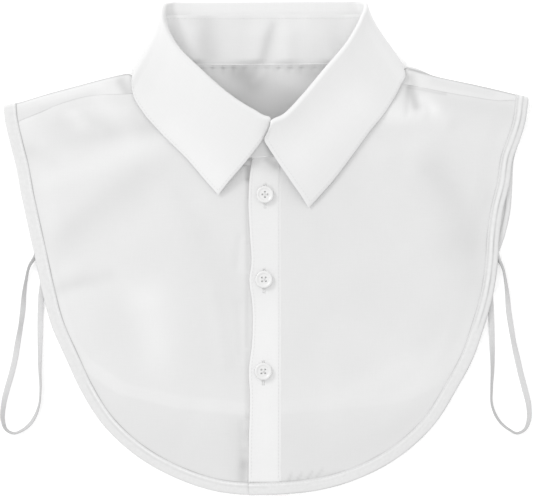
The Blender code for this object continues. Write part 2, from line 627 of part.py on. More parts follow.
def collar_fall():
    steps = (LAST_FRONT - FIRST_FRONT) * STEPS_PER_STATION
    at = np.linspace(FIRST_FRONT, LAST_FRONT, steps + 1)
    seam, fold, rise, out = collar_frames(at)
    edge = station("edge", at)
    roll = station("roll", at)
    share = station("stand_share", at)
    rows = [seam + (fold - seam) * share + rise * SEAM_GAP]
    centre = fold - rise * roll + out * roll
    for degrees in ROLL_ANGLES:
        angle = math.radians(degrees)
        rows.append(centre + roll * (rise * math.sin(angle) - out * math.cos(angle)))
    start = rows[-1]
    reach = np.linalg.norm(edge - start, axis=1)[:, None]
    arrive = edge - start
    for t, bow in zip(LEAF_SHARES, LEAF_BOW):
        keep = 1 - t * t * (3 - 2 * t)
        bend = t * (1 - t) ** 2 * -rise * reach + t * t * (t - 1) * arrive
        row = keep * start + (1 - keep) * edge + bend
        row[-len(BOW_FADE):, 0] -= bow * np.array(BOW_FADE)
        rows.append(row)
    middle = np.stack(rows)
    middle[..., 2] = np.maximum(middle[..., 2], CLOTH_WALL / 2)
    return wall("collar_fall", middle, CLOTH_WALL, COTTON_CRISP)


# Buttons and elastic loops


def button(number, x, y, turn):
    """Turned button with a raised rim and four holes, lying on the band."""
    work = bmesh.new()
    ring = [work.verts.new((r * MM, 0.0, z * MM)) for r, z in BUTTON_PROFILE]
    edges = [work.edges.new(pair) for pair in zip(ring[:-1], ring[1:])]
    bmesh.ops.spin(
        work, geom=ring + edges, cent=(0, 0, 0), axis=(0, 0, 1), angle=math.tau,
        steps=BUTTON_STEPS, use_merge=True,
    )
    bmesh.ops.remove_doubles(work, verts=work.verts, dist=0.01 * MM)
    bmesh.ops.recalc_face_normals(work, faces=work.faces)
    name = f"button_{number}"
    mesh = bpy.data.meshes.new(name)
    work.to_mesh(mesh)
    work.free()
    mesh.shade_smooth()
    mesh.set_sharp_from_angle(angle=math.radians(40))
    mesh.materials.append(material(name + "_resin", BUTTON_WHITE, 0.3))
    made = bpy.data.objects.new(name, mesh)
    bpy.context.scene.collection.objects.link(made)

    holes = bmesh.new()
    for corner in range(4):
        angle = math.radians(45 + 90 * corner)
        reach = HOLE_SPACING / math.sqrt(2) * MM
        place = Matrix.Translation((reach * math.cos(angle), reach * math.sin(angle), 0.0))
        bmesh.ops.create_cone(
            holes, cap_ends=True, segments=8, radius1=HOLE_RADIUS * MM,
            radius2=HOLE_RADIUS * MM, depth=HOLE_CUT * MM, matrix=place,
        )
    cutter_mesh = bpy.data.meshes.new(name + "_holes")
    holes.to_mesh(cutter_mesh)
    holes.free()
    cutter = bpy.data.objects.new(name + "_holes", cutter_mesh)
    bpy.context.scene.collection.objects.link(cutter)
    cutter.hide_render = True
    cutter.display_type = "WIRE"
    cut = made.modifiers.new("holes", "BOOLEAN")
    cut.operation = "DIFFERENCE"
    cut.object = cutter

    reach = BUTTON_RADIUS * np.array([-1.0, 0.0, 1.0])
    around_x, around_y = np.meshgrid(x + reach, y + reach)
    band_top = front_rest(around_x, around_y).max() + OVER_CLOTH + BAND_WALL
    for item in (made, cutter):
        item.location = (x * MM, y * MM, (band_top + SEAM_GAP) * MM)
        item.rotation_euler = (0, 0, math.radians(turn))
    return made


def elastic_loop(name, route):
    """Flat elastic as a curve with an extrusion, turned about its line by its tilt."""
    places = curve(route, np.linspace(0, 1, LOOP_POINTS))
    flat_half = (ELASTIC_WIDTH - ELASTIC_THICKNESS) / 2
    data = bpy.data.curves.new(name, "CURVE")
    data.dimensions = "3D"
    data.twist_mode = "Z_UP"
    data.extrude = flat_half * MM
    data.bevel_depth = ELASTIC_THICKNESS / 2 * MM
    data.bevel_resolution = 1
    data.use_fill_caps = True
    line = data.splines.new("POLY")
    line.points.add(LOOP_POINTS - 1)
    for point, (x, y, lift, turn) in zip(line.points, places):
        half_height = flat_half * abs(math.sin(math.radians(turn))) + ELASTIC_THICKNESS / 2
        z = TABLE_GAP + lift + half_height
        point.co = (x * MM, y * MM, z * MM, 1.0)
        point.tilt = math.radians(90 + turn)
    data.materials.append(material(name + "_elastic", ELASTIC, 0.8))
    made = bpy.data.objects.new(name, data)
    bpy.context.scene.collection.objects.link(made)
    return made


def main():
    for item in list(bpy.data.objects):
        bpy.data.objects.remove(item, do_unlink=True)
    back_panel()
    front_panels()
    front_band()
    binding_strip("right_binding", RIGHT_FRONT_EDGE, RIGHT_SHOULDER_FOLD, front_rest)
    binding_strip("left_binding", LEFT_FRONT_EDGE, LEFT_SHOULDER_FOLD, left_binding_rest)
    back_binding()
    collar_stand()
    collar_fall()
    for number, (x, y, turn) in enumerate(BUTTONS, start=1):
        button(number, x, y, turn)
    elastic_loop("right_elastic_loop", RIGHT_LOOP)
    elastic_loop("left_elastic_loop", LEFT_LOOP)


main()
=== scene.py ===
"""Detachable shirt collar with a short front and back, laid flat: the cloth, sewing and light.

Every surface is a grid of points worked out in millimetres and put into its mesh in metres.
X runs to the right, Y towards the top of the collar and Z up off the table.
Right and left are the wearer's, so the right front lies at negative X.
"""

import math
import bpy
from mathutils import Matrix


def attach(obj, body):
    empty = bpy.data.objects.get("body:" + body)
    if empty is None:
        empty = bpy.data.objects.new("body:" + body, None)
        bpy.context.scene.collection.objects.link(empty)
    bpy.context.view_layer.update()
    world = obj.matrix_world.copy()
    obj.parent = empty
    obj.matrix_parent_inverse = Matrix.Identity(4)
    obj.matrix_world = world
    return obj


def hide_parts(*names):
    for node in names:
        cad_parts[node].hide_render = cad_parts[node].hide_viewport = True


bl_info = {
    "name": "Shirt collar",
    "version": (1, 0, 0),
    "blender": (4, 5, 0),
    "location": "View3D > Sidebar > Collar",
    "description": "Cotton collar with a buttoned front, a short back and elastic side loops",
    "category": "Object",
}

import bpy
import numpy as np
from bpy.props import FloatProperty, FloatVectorProperty, IntProperty, PointerProperty
from bpy.types import Operator, Panel, PropertyGroup

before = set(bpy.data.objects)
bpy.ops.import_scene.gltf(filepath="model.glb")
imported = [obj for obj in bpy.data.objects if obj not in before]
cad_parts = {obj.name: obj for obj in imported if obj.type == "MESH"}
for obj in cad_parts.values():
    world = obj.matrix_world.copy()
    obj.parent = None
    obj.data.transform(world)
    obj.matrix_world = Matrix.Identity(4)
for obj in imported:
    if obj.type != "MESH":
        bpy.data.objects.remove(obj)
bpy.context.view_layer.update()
MM = 0.001

# Cloth layers and seams, in millimetres
CLOTH_WALL = 1.0
BAND_WALL = 1.2
BINDING_WALL = 1.6
BINDING_WIDTH = 8.0
SEAM_GAP = 0.3
OVER_BINDING = BINDING_WALL + SEAM_GAP
OVER_CLOTH = CLOTH_WALL + SEAM_GAP
HEM_SHELF = 8.0
HEM_RAMP = 40.0
COLLAR_RAMP = 30.0
SHOULDER_PUFF = 2.0
SHOULDER_REACH = 30.0
NECK_REST = 4.7
NECK_REACH = 16.0
LAP_RAMP = 30.0
NECK_TURN = 1.4
READING_STEP = 3.0
COLLAR_LIFT_EDGE = 112.0
COLLAR_LIFT_HALF = 92.0
GARMENT_MIDDLE = (0.0, 0.0)
NECK_MIDDLE = (0.0, 150.0)
OUTLINE_SAMPLES = 801

# Front band, its buttons and the lap of the two fronts
BAND_RIGHT_EDGE = 9.9
BAND_CLEAR = 12.0
BAND_RAMP = 48.0
LAP_CORNER = (6.0, 59.0)
BAND_TOP = 59.9
BAND_FOOT = -156.3
HEM_Y = -165.5
LEFT_NECK_END = ((17.0, 63.9), (10.5, 62.2))
BUTTONS = (
    # x, y, turn in degrees
    (-0.7, 35.8, 45), (-1.4, -21, 3), (-1.8, -82.5, 2),
)
BAND_LEFT_EDGE = (
    (-9.4, BAND_TOP), (-10.7, 50.2), (-11.7, 35.5), (-10.7, 8.7), (-9.7, -9.4), (-11.1, -22.1),
    (-9.4, -34.8), (-9.4, -65), (-11.4, -81.7), (-10.7, -98.5), (-11.4, -128.6),
    (-11.7, BAND_FOOT),
)

# Outer edges in plan, each from the shoulder tip down to the hem's middle
RIGHT_FRONT_EDGE = (
    (-175.5, 94.7), (-174.9, 87.1), (-171.5, 71), (-167.5, 54.9), (-163.5, 33.5), (-158.8, 12.1),
    (-154.1, -9.4), (-149.4, -30.8), (-143.4, -52.3), (-134, -73.7), (-124, -95.1),
    (-110.6, -116.6), (-88.4, -138), (-60.3, -154.1), (-34.2, -162.8), (-4, HEM_Y),
    (5.4, HEM_Y + 0.3),
)
LEFT_FRONT_EDGE = (
    (175.5, 100.2), (173.5, 84.4), (169.5, 71), (165.8, 61), (163, 42.9), (158.7, 25.1),
    (156.3, 7.4), (155.2, -9.4), (152.1, -30.8), (146.1, -52.3), (138.7, -73.7), (127.3, -95.1),
    (113.9, -116.6), (91.8, -138), (63, -154.1), (36.2, -162.1), (12.1, -164.8), (-11.4, HEM_Y),
)
BACK_EDGE = RIGHT_FRONT_EDGE[:6] + (
    (-153.8, -5.4), (-146, -26.8), (-140.2, -48.2), (-134.3, -65), (-126, -78.4), (-116.6, -85.8),
    (-98.5, -97.8), (-59.6, -107.2), (-12.1, -111.9), (38.2, -108.5), (83.8, -104.9),
    (101.8, -99.2), (115.6, -91.1), (130, -75), (138, -63), (143.3, -48.2), (147.4, -28.1),
    (154.6, -6.7), (160.1, 8.7), (163.5, 24.1), (164.8, 38.9), (166.2, 60.3),
) + LEFT_FRONT_EDGE[2::-1]

# Folds over the shoulders and the seams in front of them, each from the tip to the neck
RIGHT_SHOULDER_FOLD = (
    (-175.5, 94.7), (-164.2, 97.4), (-146.7, 102.7), (-126.6, 108.1), (-106.5, 113.4),
    (-97.8, 115.4), (-91.8, 116.2), (-88.4, 114.9), (-84.4, 114.6), (-79.1, 117), (-74.6, 121.3),
)
LEFT_SHOULDER_FOLD = (
    (175.5, 100.2), (166.2, 102.7), (139.4, 109), (112.6, 114.8), (93.5, 120.3), (89.8, 117.9),
    (85.1, 115.6), (79.7, 117.3), (75.3, 121.3),
)
RIGHT_SHOULDER_SEAM = (
    (-165.6, 85), (-148.7, 91.8), (-136.7, 96.8), (-119.3, 101.5), (-105.9, 102.8), (-92.5, 103.2),
    (-69.2, 107.2),
)
LEFT_SHOULDER_SEAM = (
    (165.2, 99), (156.8, 98.6), (139.4, 101), (121.3, 104), (103.2, 107.6), (94.5, 109.3),
    (73.1, 115),
)

# Collar stations along the neck, from the end of the right tab round the back to the left
COLLAR_COLUMNS = ("seam", "fold", "edge", "roll", "stand_share")
COLLAR = (
    ((7.4, 64.3, 5), (10.1, 91.1, 15.6), None, 2, 0.9),
    ((-2.7, 60.6, 5.1), (1.4, 88, 17), (-31.8, 35.5, 5), 2, 0.87),
    ((-17.4, 63.7, 5.2), (-8, 92.5, 17), (-40.2, 44.9, 5.1), 2.2, 0.87),
    ((-34.8, 72, 5.2), (-22.8, 101.8, 16.8), (-51.6, 58.3, 5.4), 2.3, 0.87),
    ((-50.9, 84.4, 5.2), (-42.2, 118.6, 16.4), (-68.3, 75, 5.8), 2.3, 0.86),
    ((-63, 98.5, 5.2), (-59.6, 136.7, 15), (-82.4, 91.1, 6.4), 2, 0.84),
    ((-69.7, 109.9, 5), (-66.3, 151.4, 12.5), (-88.9, 103.2, 7), 1.7, 0.82),
    ((-73, 118.6, 4.6), (-67, 159.5, 9.5), (-89.6, 113.2, 7.2), 1.4, 0.8),
    ((-74.2, 122.6, 3.3), (-66, 163.1, 5.5), (-87.8, 119.9, 4.4), 1, 0.8),
    ((-71, 123.1, 2), (-62.3, 164.2, 2.4), (-77.7, 119.4, 0.6), 0.7, 0.8),
    ((-61, 122.9, 1.8), (-54.9, 164.2, 1.8), (-65.7, 115.2, 0.5), 0.65, 0.8),
    ((-34.2, 122.6, 1.8), (-32.8, 164.2, 1.8), (-35.5, 113.9, 0.5), 0.65, 0.8),
    ((0, 122.6, 1.8), (-0.7, 164.4, 1.8), (0, 113.9, 0.5), 0.65, 0.8),
    ((34.2, 122.9, 1.8), (32.2, 164.6, 1.8), (34.8, 113.9, 0.5), 0.65, 0.8),
    ((61, 123.3, 1.8), (53.6, 164.6, 1.8), (65.7, 115.2, 0.5), 0.65, 0.8),
    ((71.4, 123.5, 2), (61, 164.6, 2.4), (79.1, 119.3, 0.6), 0.7, 0.8),
    ((74.8, 122.8, 3.3), (65, 163.6, 5.5), (89.4, 124, 4.4), 1, 0.8),
    ((73.7, 118.6, 4.6), (65.3, 160.8, 9.5), (92.8, 117.2, 7.2), 1.4, 0.8),
    ((70.4, 109.9, 5), (62.3, 152.8, 12.5), (89.8, 108.5, 7), 1.7, 0.82),
    ((63.7, 98.5, 5.2), (53.9, 138, 15), (81.6, 93.8, 6.5), 2, 0.84),
    ((50.9, 84.4, 5.2), (38.2, 119.3, 16.6), (68.8, 77.4, 5.9), 2.3, 0.86),
    ((34.8, 72, 5.3), (23.2, 101.5, 17.4), (56, 59.8, 5.4), 2.3, 0.87),
    ((16.1, 63.3, 6.2), (11.4, 89.4, 18.6), (43.1, 43.1, 5.1), 2.2, 0.87),
    ((-2.7, 60.8, 6.9), (2.8, 84.6, 19), (28.4, 26.8, 5), 2, 0.87),
    ((-12.1, 60.4, 6.9), (-6.3, 73.4, 13.6), None, 2, 0.87),
)
FIRST_FRONT, LAST_FRONT = 1, 23
RIGHT_CREASE, LEFT_CREASE = 8, 16
RIGHT_SEAM_STATION, LEFT_SEAM_STATION = 5.75, 17.5

# How far the leaves' front edges bow towards one another on the way from roll to point
LEAF_BOWS = (
    # share of the way, right leaf, left leaf
    (0, 1.6, 0.2), (0.08, 2.6, 1.5), (0.16, 2, 3.7), (0.26, 0.7, 2.4), (0.36, 0, 1.2),
    (0.52, 0, 0.5), (0.76, 0, 0.5), (1, 0, 0),
)
BOW_REACH = 0.75

# Soft folds pressed into the fronts: ends in plan, half width and height
FOLDS = (
    # x0, y0, x1, y1, half width, height
    (-146, -12, -82, 36, 13, -0.8), (-146, 14, -88, 59, 14, 1), (-139, -30, -118, -24, 7, -0.4),
    (-100, -50, -50, -60, 26, 1.1), (-15, -60, -16, -140, 5, -0.6), (-24, -20, -28, -120, 8, 0.4),
    (90, 56, 140, 5, 10, -0.9), (110, 66, 146, 32, 10, 1), (60, -20, 110, -40, 26, 1.1),
    (98, 102, 98, 88, 5, -0.9),
)
BELLY = 1.0

# Fine creases that only the cloth has, in the same columns
FRONT_CREASES = (
    (-145, -18, -84, 19, 13, -0.6), (-142, 5, -88, 37, 12, 0.5), (-139.5, -30, -124, -26, 5, -0.5),
    (-139, -20, -126, -15, 6, 0.4), (-150, 72, -96, 74, 8, -0.9), (-140, 88, -92, 90, 6, 0.8),
    (-128, 92, -112, 80, 3.5, -0.5), (-64, 52, -48, 34, 7, -0.5), (-78, -42, -66, -66, 11, 1),
    (-110, -40, -96, -84, 11, 0.5), (-36, -30, -28, -76, 5, 0.5), (-17, 6, -19, -12, 3, -0.6),
    (-18, -38, -16, -72, 3, -0.4), (-15, -118, -15.5, -156, 3, -0.9),
    (-44, -104, -58, -128, 8, -0.5), (95, 52, 145, 2, 9, -1.2), (104, 66, 152, 30, 9, 0.9),
    (96, 107, 95, 90, 2.6, -1), (103, 104, 106, 90, 3.2, 0.8), (86, 92, 120, 84, 6, 0.9),
    (120, 84, 156, 76, 7, -0.5), (62, 34, 86, 0, 8, -0.5), (30, 24, 38, -36, 8, 0.4),
    (130, -30, 104, -84, 10, -0.6), (44, -70, 52, -112, 9, 0.5),
)

# Soft ridges inside the stand: station at the seam and at the top, half widths on both
# sides in stations, and height
STAND_RIDGES = (
    (10.4, 10.5, 0.35, 0.26, 1.6), (11.8, 12.05, 0.42, 0.14, 2.3), (12.42, 12.5, 0.22, 0.26, 1.6),
    (13.4, 13.2, 0.3, 0.3, 1.2),
)

# Elastic loops: route in plan, height and turn of the flat about its own line
TABLE_GAP = 0.1
LOOP_POINTS = 240
RIGHT_LOOP = (
    # x, y, lift, turn in degrees
    (-151.7, 2, 0.6, 20), (-154.3, -5.4, 0.3, 50), (-158.4, -12.1, 0.2, 68),
    (-160.6, -21.4, 0, 64), (-162, -30.8, 0, 45), (-162.9, -41.5, 0, 25), (-164.3, -52.3, 0, 38),
    (-166.2, -63, 0, 15), (-168, -73.7, 0, 0), (-170.5, -84.4, 0, 5), (-173.6, -95.1, 0, 10),
    (-175.9, -105.9, 0, 30), (-176.2, -115.5, 0, 48), (-173.8, -121.7, 0, 68), (-169, -124, 0, 74),
    (-163, -121.9, 0, 66), (-157.3, -117, 0, 56), (-154, -111.4, 0, 62), (-151.9, -105, 0, 72),
    (-151, -95.1, 0, 72), (-151.4, -81.7, 0, 58), (-151.3, -61.6, 0, 28), (-151, -41.5, 0, 0),
    (-150.6, -32, 0.2, 0), (-148.8, -20, 0.9, 0),
)
LEFT_LOOP = (
    # x, y, lift, turn in degrees
    (153.2, 1, 0.6, -20), (155.3, -6.4, 0.3, -50), (158.7, -14, 0.2, -72), (160.2, -21.4, 0, -68),
    (161.5, -30.8, 0, -50), (162.4, -41.5, 0, -28), (164, -52.3, 0, -26), (165.8, -63, 0, -38),
    (168.2, -73.7, 0, -8), (170.7, -84.4, 0, 0), (173.5, -95.1, 0, -10), (175.9, -105.9, 0, -35),
    (175.9, -115.5, 0, -50), (172.9, -121.9, 0, -70), (168, -124, 0, -75), (162.6, -121.4, 0, -72),
    (157, -116.8, 0, -68), (153.4, -111.2, 0, -66), (151.2, -104.5, 0, -70), (151, -95.1, 0, -66),
    (151.6, -81.7, 0, -50), (151.3, -61.6, 0, -15), (150.9, -46.5, 0, 0), (150.2, -34, 0.2, 0),
    (148.6, -22, 0.9, 0),
)
LOOP_SIDES = 24
# Painted shade: how much darker the elastic is where it turns on its edge
LOOP_EDGE_SHADE = 0.28


# Curves and fields


def through(points, knots, at):
    """Cubic through points at given knots, its slopes read from the neighbours."""
    slope = np.gradient(points, knots, axis=0)
    cell = np.clip(np.searchsorted(knots, at, side="right") - 1, 0, len(knots) - 2)
    width = (knots[cell + 1] - knots[cell])[:, None]
    t = (at - knots[cell])[:, None] / width
    start, end = points[cell], points[cell + 1]
    keep = 1 - t * t * (3 - 2 * t)
    leave = t * (1 - t) ** 2 * width * slope[cell]
    arrive = t * t * (t - 1) * width * slope[cell + 1]
    return keep * start + (1 - keep) * end + leave + arrive


def reach_of(points):
    """Length along a row of points, up to each of them."""
    step = np.linalg.norm(np.diff(points, axis=0), axis=1)
    return np.concatenate([[0.0], np.cumsum(step)])


def unit(vectors):
    """The same vectors at length 1."""
    return vectors / np.linalg.norm(vectors, axis=-1)[..., None]


def curve(points, at):
    """Smooth curve through the points, read at shares of its chord length."""
    points = np.asarray(points, float)
    reach = reach_of(points[:, :3])
    return through(points, reach, np.asarray(at, float) * reach[-1])


def ramp(t):
    """Smooth step from 0 to 1: three times the square less twice the cube."""
    t = np.clip(t, 0.0, 1.0)
    return t * t * (3 - 2 * t)


def inward(points, towards):
    """Unit normals in plan of a row of points, on the side of the given point."""
    along = np.gradient(points[:, :2], axis=0)
    across = unit(np.stack([-along[:, 1], along[:, 0]], axis=1))
    side = np.sum(across * (np.asarray(towards) - points[:, :2]), axis=1)
    return across * np.where(side < 0, -1.0, 1.0)[:, None]


def inset(points, towards, distance):
    """The row of points moved inwards in plan."""
    return points[:, :2] + inward(points, towards) * distance


def segment_distance(x, y, *lines):
    """Distance in plan from each place to the nearest of some lines of straight pieces."""
    nearest = np.full(np.shape(x), np.inf)
    for line in lines:
        for (x0, y0), (x1, y1) in zip(line[:-1], line[1:]):
            dx, dy = x1 - x0, y1 - y0
            share = np.clip(((x - x0) * dx + (y - y0) * dy) / (dx * dx + dy * dy), 0, 1)
            nearest = np.minimum(nearest, np.hypot(x - x0 - share * dx, y - y0 - share * dy))
    return nearest


def is_inside(x, y, outline):
    """Whether each place lies inside a closed outline, by counting its crossings."""
    inside = np.zeros(np.shape(x), bool)
    for (x0, y0), (x1, y1) in zip(outline, outline[1:] + outline[:1]):
        if y0 == y1:
            continue
        crosses = (y0 > y) != (y1 > y)
        inside ^= crosses & (x < x0 + (y - y0) * (x1 - x0) / (y1 - y0))
    return inside


def station(column, at):
    """One column of the collar's table, read between its stations."""
    place = COLLAR_COLUMNS.index(column)
    filled = [i for i, row in enumerate(COLLAR) if row[place] is not None]
    values = np.array([COLLAR[i][place] for i in filled], float).reshape(len(filled), -1)
    reach = [0.0]
    for last, row in zip(COLLAR[:-1], COLLAR[1:]):
        reach.append(reach[-1] + (math.dist(last[0], row[0]) + math.dist(last[1], row[1])) / 2)
    knots = np.array(reach)[filled]
    return through(values, knots, np.interp(at, range(len(COLLAR)), reach))


FRONT_SEAM = [
    tuple(place[:2])
    for first, last in ((RIGHT_CREASE, FIRST_FRONT), (LAST_FRONT, LEFT_CREASE))
    for place in station("seam", np.linspace(first, last, 15))
]
SHOULDERS = (RIGHT_SHOULDER_FOLD, LEFT_SHOULDER_FOLD)
SIDES = (RIGHT_FRONT_EDGE, LEFT_FRONT_EDGE)
BACK_OUTLINE = BACK_EDGE + LEFT_SHOULDER_FOLD[1:] + RIGHT_SHOULDER_FOLD[::-1]


def outside_back(x, y):
    """Distance in plan past the back's outline, and 0 within it."""
    return segment_distance(x, y, BACK_OUTLINE) * ~is_inside(x, y, BACK_OUTLINE)


def back_rest(x, y):
    """Height of the back's underside: flat, and raised where the folded collar lies below."""
    below = 1 - ramp((COLLAR_LIFT_EDGE - y) / COLLAR_RAMP)
    beside = 1 - ramp((np.abs(x) - COLLAR_LIFT_HALF) / COLLAR_RAMP)
    return OVER_CLOTH * below * beside


def front_rest(x, y):
    """Height of the fronts' underside: on the back and its binding, higher at the shoulders
    and the neck, down to the table past the back's hem, with soft folds."""
    cover = 1 - ramp((outside_back(x, y) - HEM_SHELF) / HEM_RAMP)
    shoulder = segment_distance(x, y, *SHOULDERS)
    rest = OVER_BINDING * cover + SHOULDER_PUFF * np.exp(-(shoulder / SHOULDER_REACH) ** 2)
    edge = segment_distance(x, y, *SIDES)
    middle = ramp((edge - BINDING_WIDTH) / (2 * BINDING_WIDTH)) * cover
    middle = middle * ramp((np.abs(x) - BAND_CLEAR) / BAND_RAMP)
    rest = rest + middle * (BELLY + ridges(x, y, FOLDS))
    near = np.exp(-(segment_distance(x, y, FRONT_SEAM) / NECK_REACH) ** 2)
    return rest + (NECK_REST - rest) * near


def lapped_rest(over):
    """front_rest, raised beside the band by what lies below there."""

    def rest(x, y):
        return front_rest(x, y) + over * (1 - ramp((x - BAND_RIGHT_EDGE) / LAP_RAMP))

    return rest


def ridges(x, y, table):
    """Sum over the table of height times a bell across the line from one end to the other."""
    height = np.zeros(np.shape(x))
    for x0, y0, x1, y1, half_width, top in table:
        away = segment_distance(x, y, [(x0, y0), (x1, y1)])
        height = height + top * np.exp(-(away / half_width) ** 2)
    return height


def ripple(x, y, length, turn):
    """Uneven soft waves from 0 to 1: a sine along a turned axis, bent by two slower sines."""
    along = x * math.cos(turn) + y * math.sin(turn)
    across = y * math.cos(turn) - x * math.sin(turn)
    bend = np.sin(across / (1.9 * length) + 0.7) + 0.6 * np.sin(along / (2.7 * length) + 2.1)
    return 0.5 + 0.5 * np.sin(2 * np.pi * along / length + 1.6 * bend)


def hand(x, y):
    """Height of the faint unevenness that ironed cotton keeps: four crossing ripples."""
    waves = 0.16 * ripple(x, y, 61.0, 0.35) + 0.13 * ripple(x, y, 47.0, 1.9)
    return waves + 0.05 * ripple(x, y, 23.0, 2.6) + 0.04 * ripple(x, y, 17.0, 0.9)


# Meshes


def normals_of(middle):
    """Unit normals of a grid of points: the cross product of its two central differences."""
    normal = np.cross(np.gradient(middle, axis=0), np.gradient(middle, axis=1))
    return normal / np.maximum(np.linalg.norm(normal, axis=2), 1e-9)[:, :, None]


def arcs(middle):
    """Lengths along the columns and along the rows of a grid, averaged across it."""
    across = np.linalg.norm(np.diff(middle, axis=1), axis=2).mean(axis=0)
    down = np.linalg.norm(np.diff(middle, axis=0), axis=2).mean(axis=1)
    u = np.concatenate([[0.0], np.cumsum(across)])
    v = np.concatenate([[0.0], np.cumsum(down)])
    return np.meshgrid(u, v)


RIM_LEAST = 0.12
SHARP_ANGLE = 55.0


def rim_half(middle, half, reach):
    """Half thickness that rounds off within a reach of the grid's four edges, as a circle does."""
    u, v = arcs(middle)
    edge = np.minimum(np.minimum(u, u[:, -1:] - u), np.minimum(v, v[-1:] - v))
    share = np.clip(edge / reach, 0.0, 1.0)
    return half * np.maximum(np.sqrt(share * (2 - share)), RIM_LEAST)


def volume(points, faces):
    """Signed volume of a closed mesh of quads: a third of the sum over its faces of the centre
    times the area vector."""
    a, b, c, d = (points[faces[:, k]] for k in range(4))
    area = np.cross(c - a, d - b) / 2
    return np.sum((a + b + c + d) / 4 * area) / 3


def put(name, points, faces, material, uv=None, layers_and_shade=None):
    """Closed mesh object from points in millimetres and quads, faces outwards, with its map
    and its values of cloth layers and painted shade."""
    if volume(points, faces) < 0:
        faces = faces[:, ::-1]
    used, flat = np.unique(faces, return_inverse=True)
    faces = flat.reshape(faces.shape)
    mesh = bpy.data.meshes.new(name)
    mesh.vertices.add(len(used))
    mesh.vertices.foreach_set("co", (points[used] * MM).ravel())
    mesh.loops.add(faces.size)
    mesh.loops.foreach_set("vertex_index", faces.ravel())
    mesh.polygons.add(len(faces))
    mesh.polygons.foreach_set("loop_start", np.arange(0, faces.size, faces.shape[1]))
    mesh.polygons.foreach_set("use_smooth", np.ones(len(faces), bool))
    mesh.update(calc_edges=True)
    if uv is not None:
        chart = mesh.uv_layers.new(name="cloth")
        chart.data.foreach_set("uv", (uv[used][faces.ravel()] * MM).ravel())
    value = np.ones(len(used)) if layers_and_shade is None else layers_and_shade[used]
    mesh.attributes.new("layers_and_shade", "FLOAT", "POINT").data.foreach_set("value", value)
    mesh.set_sharp_from_angle(angle=math.radians(SHARP_ANGLE))
    mesh.materials.append(material)
    mesh.validate()
    made = bpy.data.objects.new(name, mesh)
    bpy.context.scene.collection.objects.link(made)
    return made


def shell(name, middle, half, material, keep=None, plan_map=False, layers_and_shade=None, under=None):
    """Closed cloth: the grid moved out along its normals to both sides by the half thickness,
    with strips that close it wherever a kept cell has no kept neighbour. The side that mostly
    faces up takes the values of layers and painted shade, and the other one takes the under
    values, where they differ."""
    rows, columns = middle.shape[:2]
    out = normals_of(middle) * np.broadcast_to(half, (rows, columns))[:, :, None]
    points = np.concatenate([(middle + out).reshape(-1, 3), (middle - out).reshape(-1, 3)])
    index = np.arange(rows * columns).reshape(rows, columns)
    low = rows * columns
    if keep is None:
        keep = np.ones((rows - 1, columns - 1), bool)
    a, b = index[:-1, :-1], index[1:, :-1]
    c, d = index[1:, 1:], index[:-1, 1:]
    ring = np.pad(keep, 1)
    quads = [
        np.stack([a, b, c, d], axis=-1)[keep],
        np.stack([a, d, c, b], axis=-1)[keep] + low,
    ]
    borders = (
        (keep & ~ring[:-2, 1:-1], a, d), (keep & ~ring[2:, 1:-1], c, b),
        (keep & ~ring[1:-1, :-2], b, a), (keep & ~ring[1:-1, 2:], d, c),
    )
    for open_side, start, end in borders:
        start, end = start[open_side], end[open_side]
        quads.append(np.stack([start, end, end + low, start + low], axis=-1))
    if plan_map:
        u, v = middle[..., 0], middle[..., 1]
    else:
        u, v = arcs(middle)
    uv = np.stack([u.ravel(), v.ravel()], axis=1)
    both = None
    if layers_and_shade is not None:
        sides = [layers_and_shade, layers_and_shade if under is None else under]
        if out[..., 2].sum() < 0:
            sides.reverse()
        both = np.concatenate([np.broadcast_to(side, (rows, columns)).ravel() for side in sides])
    return put(name, points, np.concatenate(quads), material, np.concatenate([uv, uv]), both)


def patch(top, inner, bottom, outer, shares):
    """Plan points between four edge rows: each pair of edges joined by straight lines, added,
    less the sheet between the four corners. Top and bottom run outer to inner."""
    u = np.linspace(0, 1, len(top))[None, :, None]
    v = np.array(shares)[:, None, None]
    between_rows = (1 - v) * top[None] + v * bottom[None]
    between_sides = (1 - u) * outer[:, None] + u * inner[:, None]
    top_corners = (1 - u) * top[0] + u * top[-1]
    bottom_corners = (1 - u) * bottom[0] + u * bottom[-1]
    return between_rows + between_sides - (1 - v) * top_corners - v * bottom_corners


def lay(plan, rest, thickness):
    """Middle points of a wall whose underside lies at the rest height."""
    height = rest(plan[..., 0], plan[..., 1]) + thickness / 2
    return np.concatenate([plan, height[..., None]], axis=-1)


STITCH_RINGS = 6
STITCH_SHARE = 0.8
STITCH_SUNK = 0.03


def read_row(points, reach, at):
    """A row of points read at lengths along it."""
    return np.stack([np.interp(at, reach, points[:, k]) for k in range(3)], axis=1)


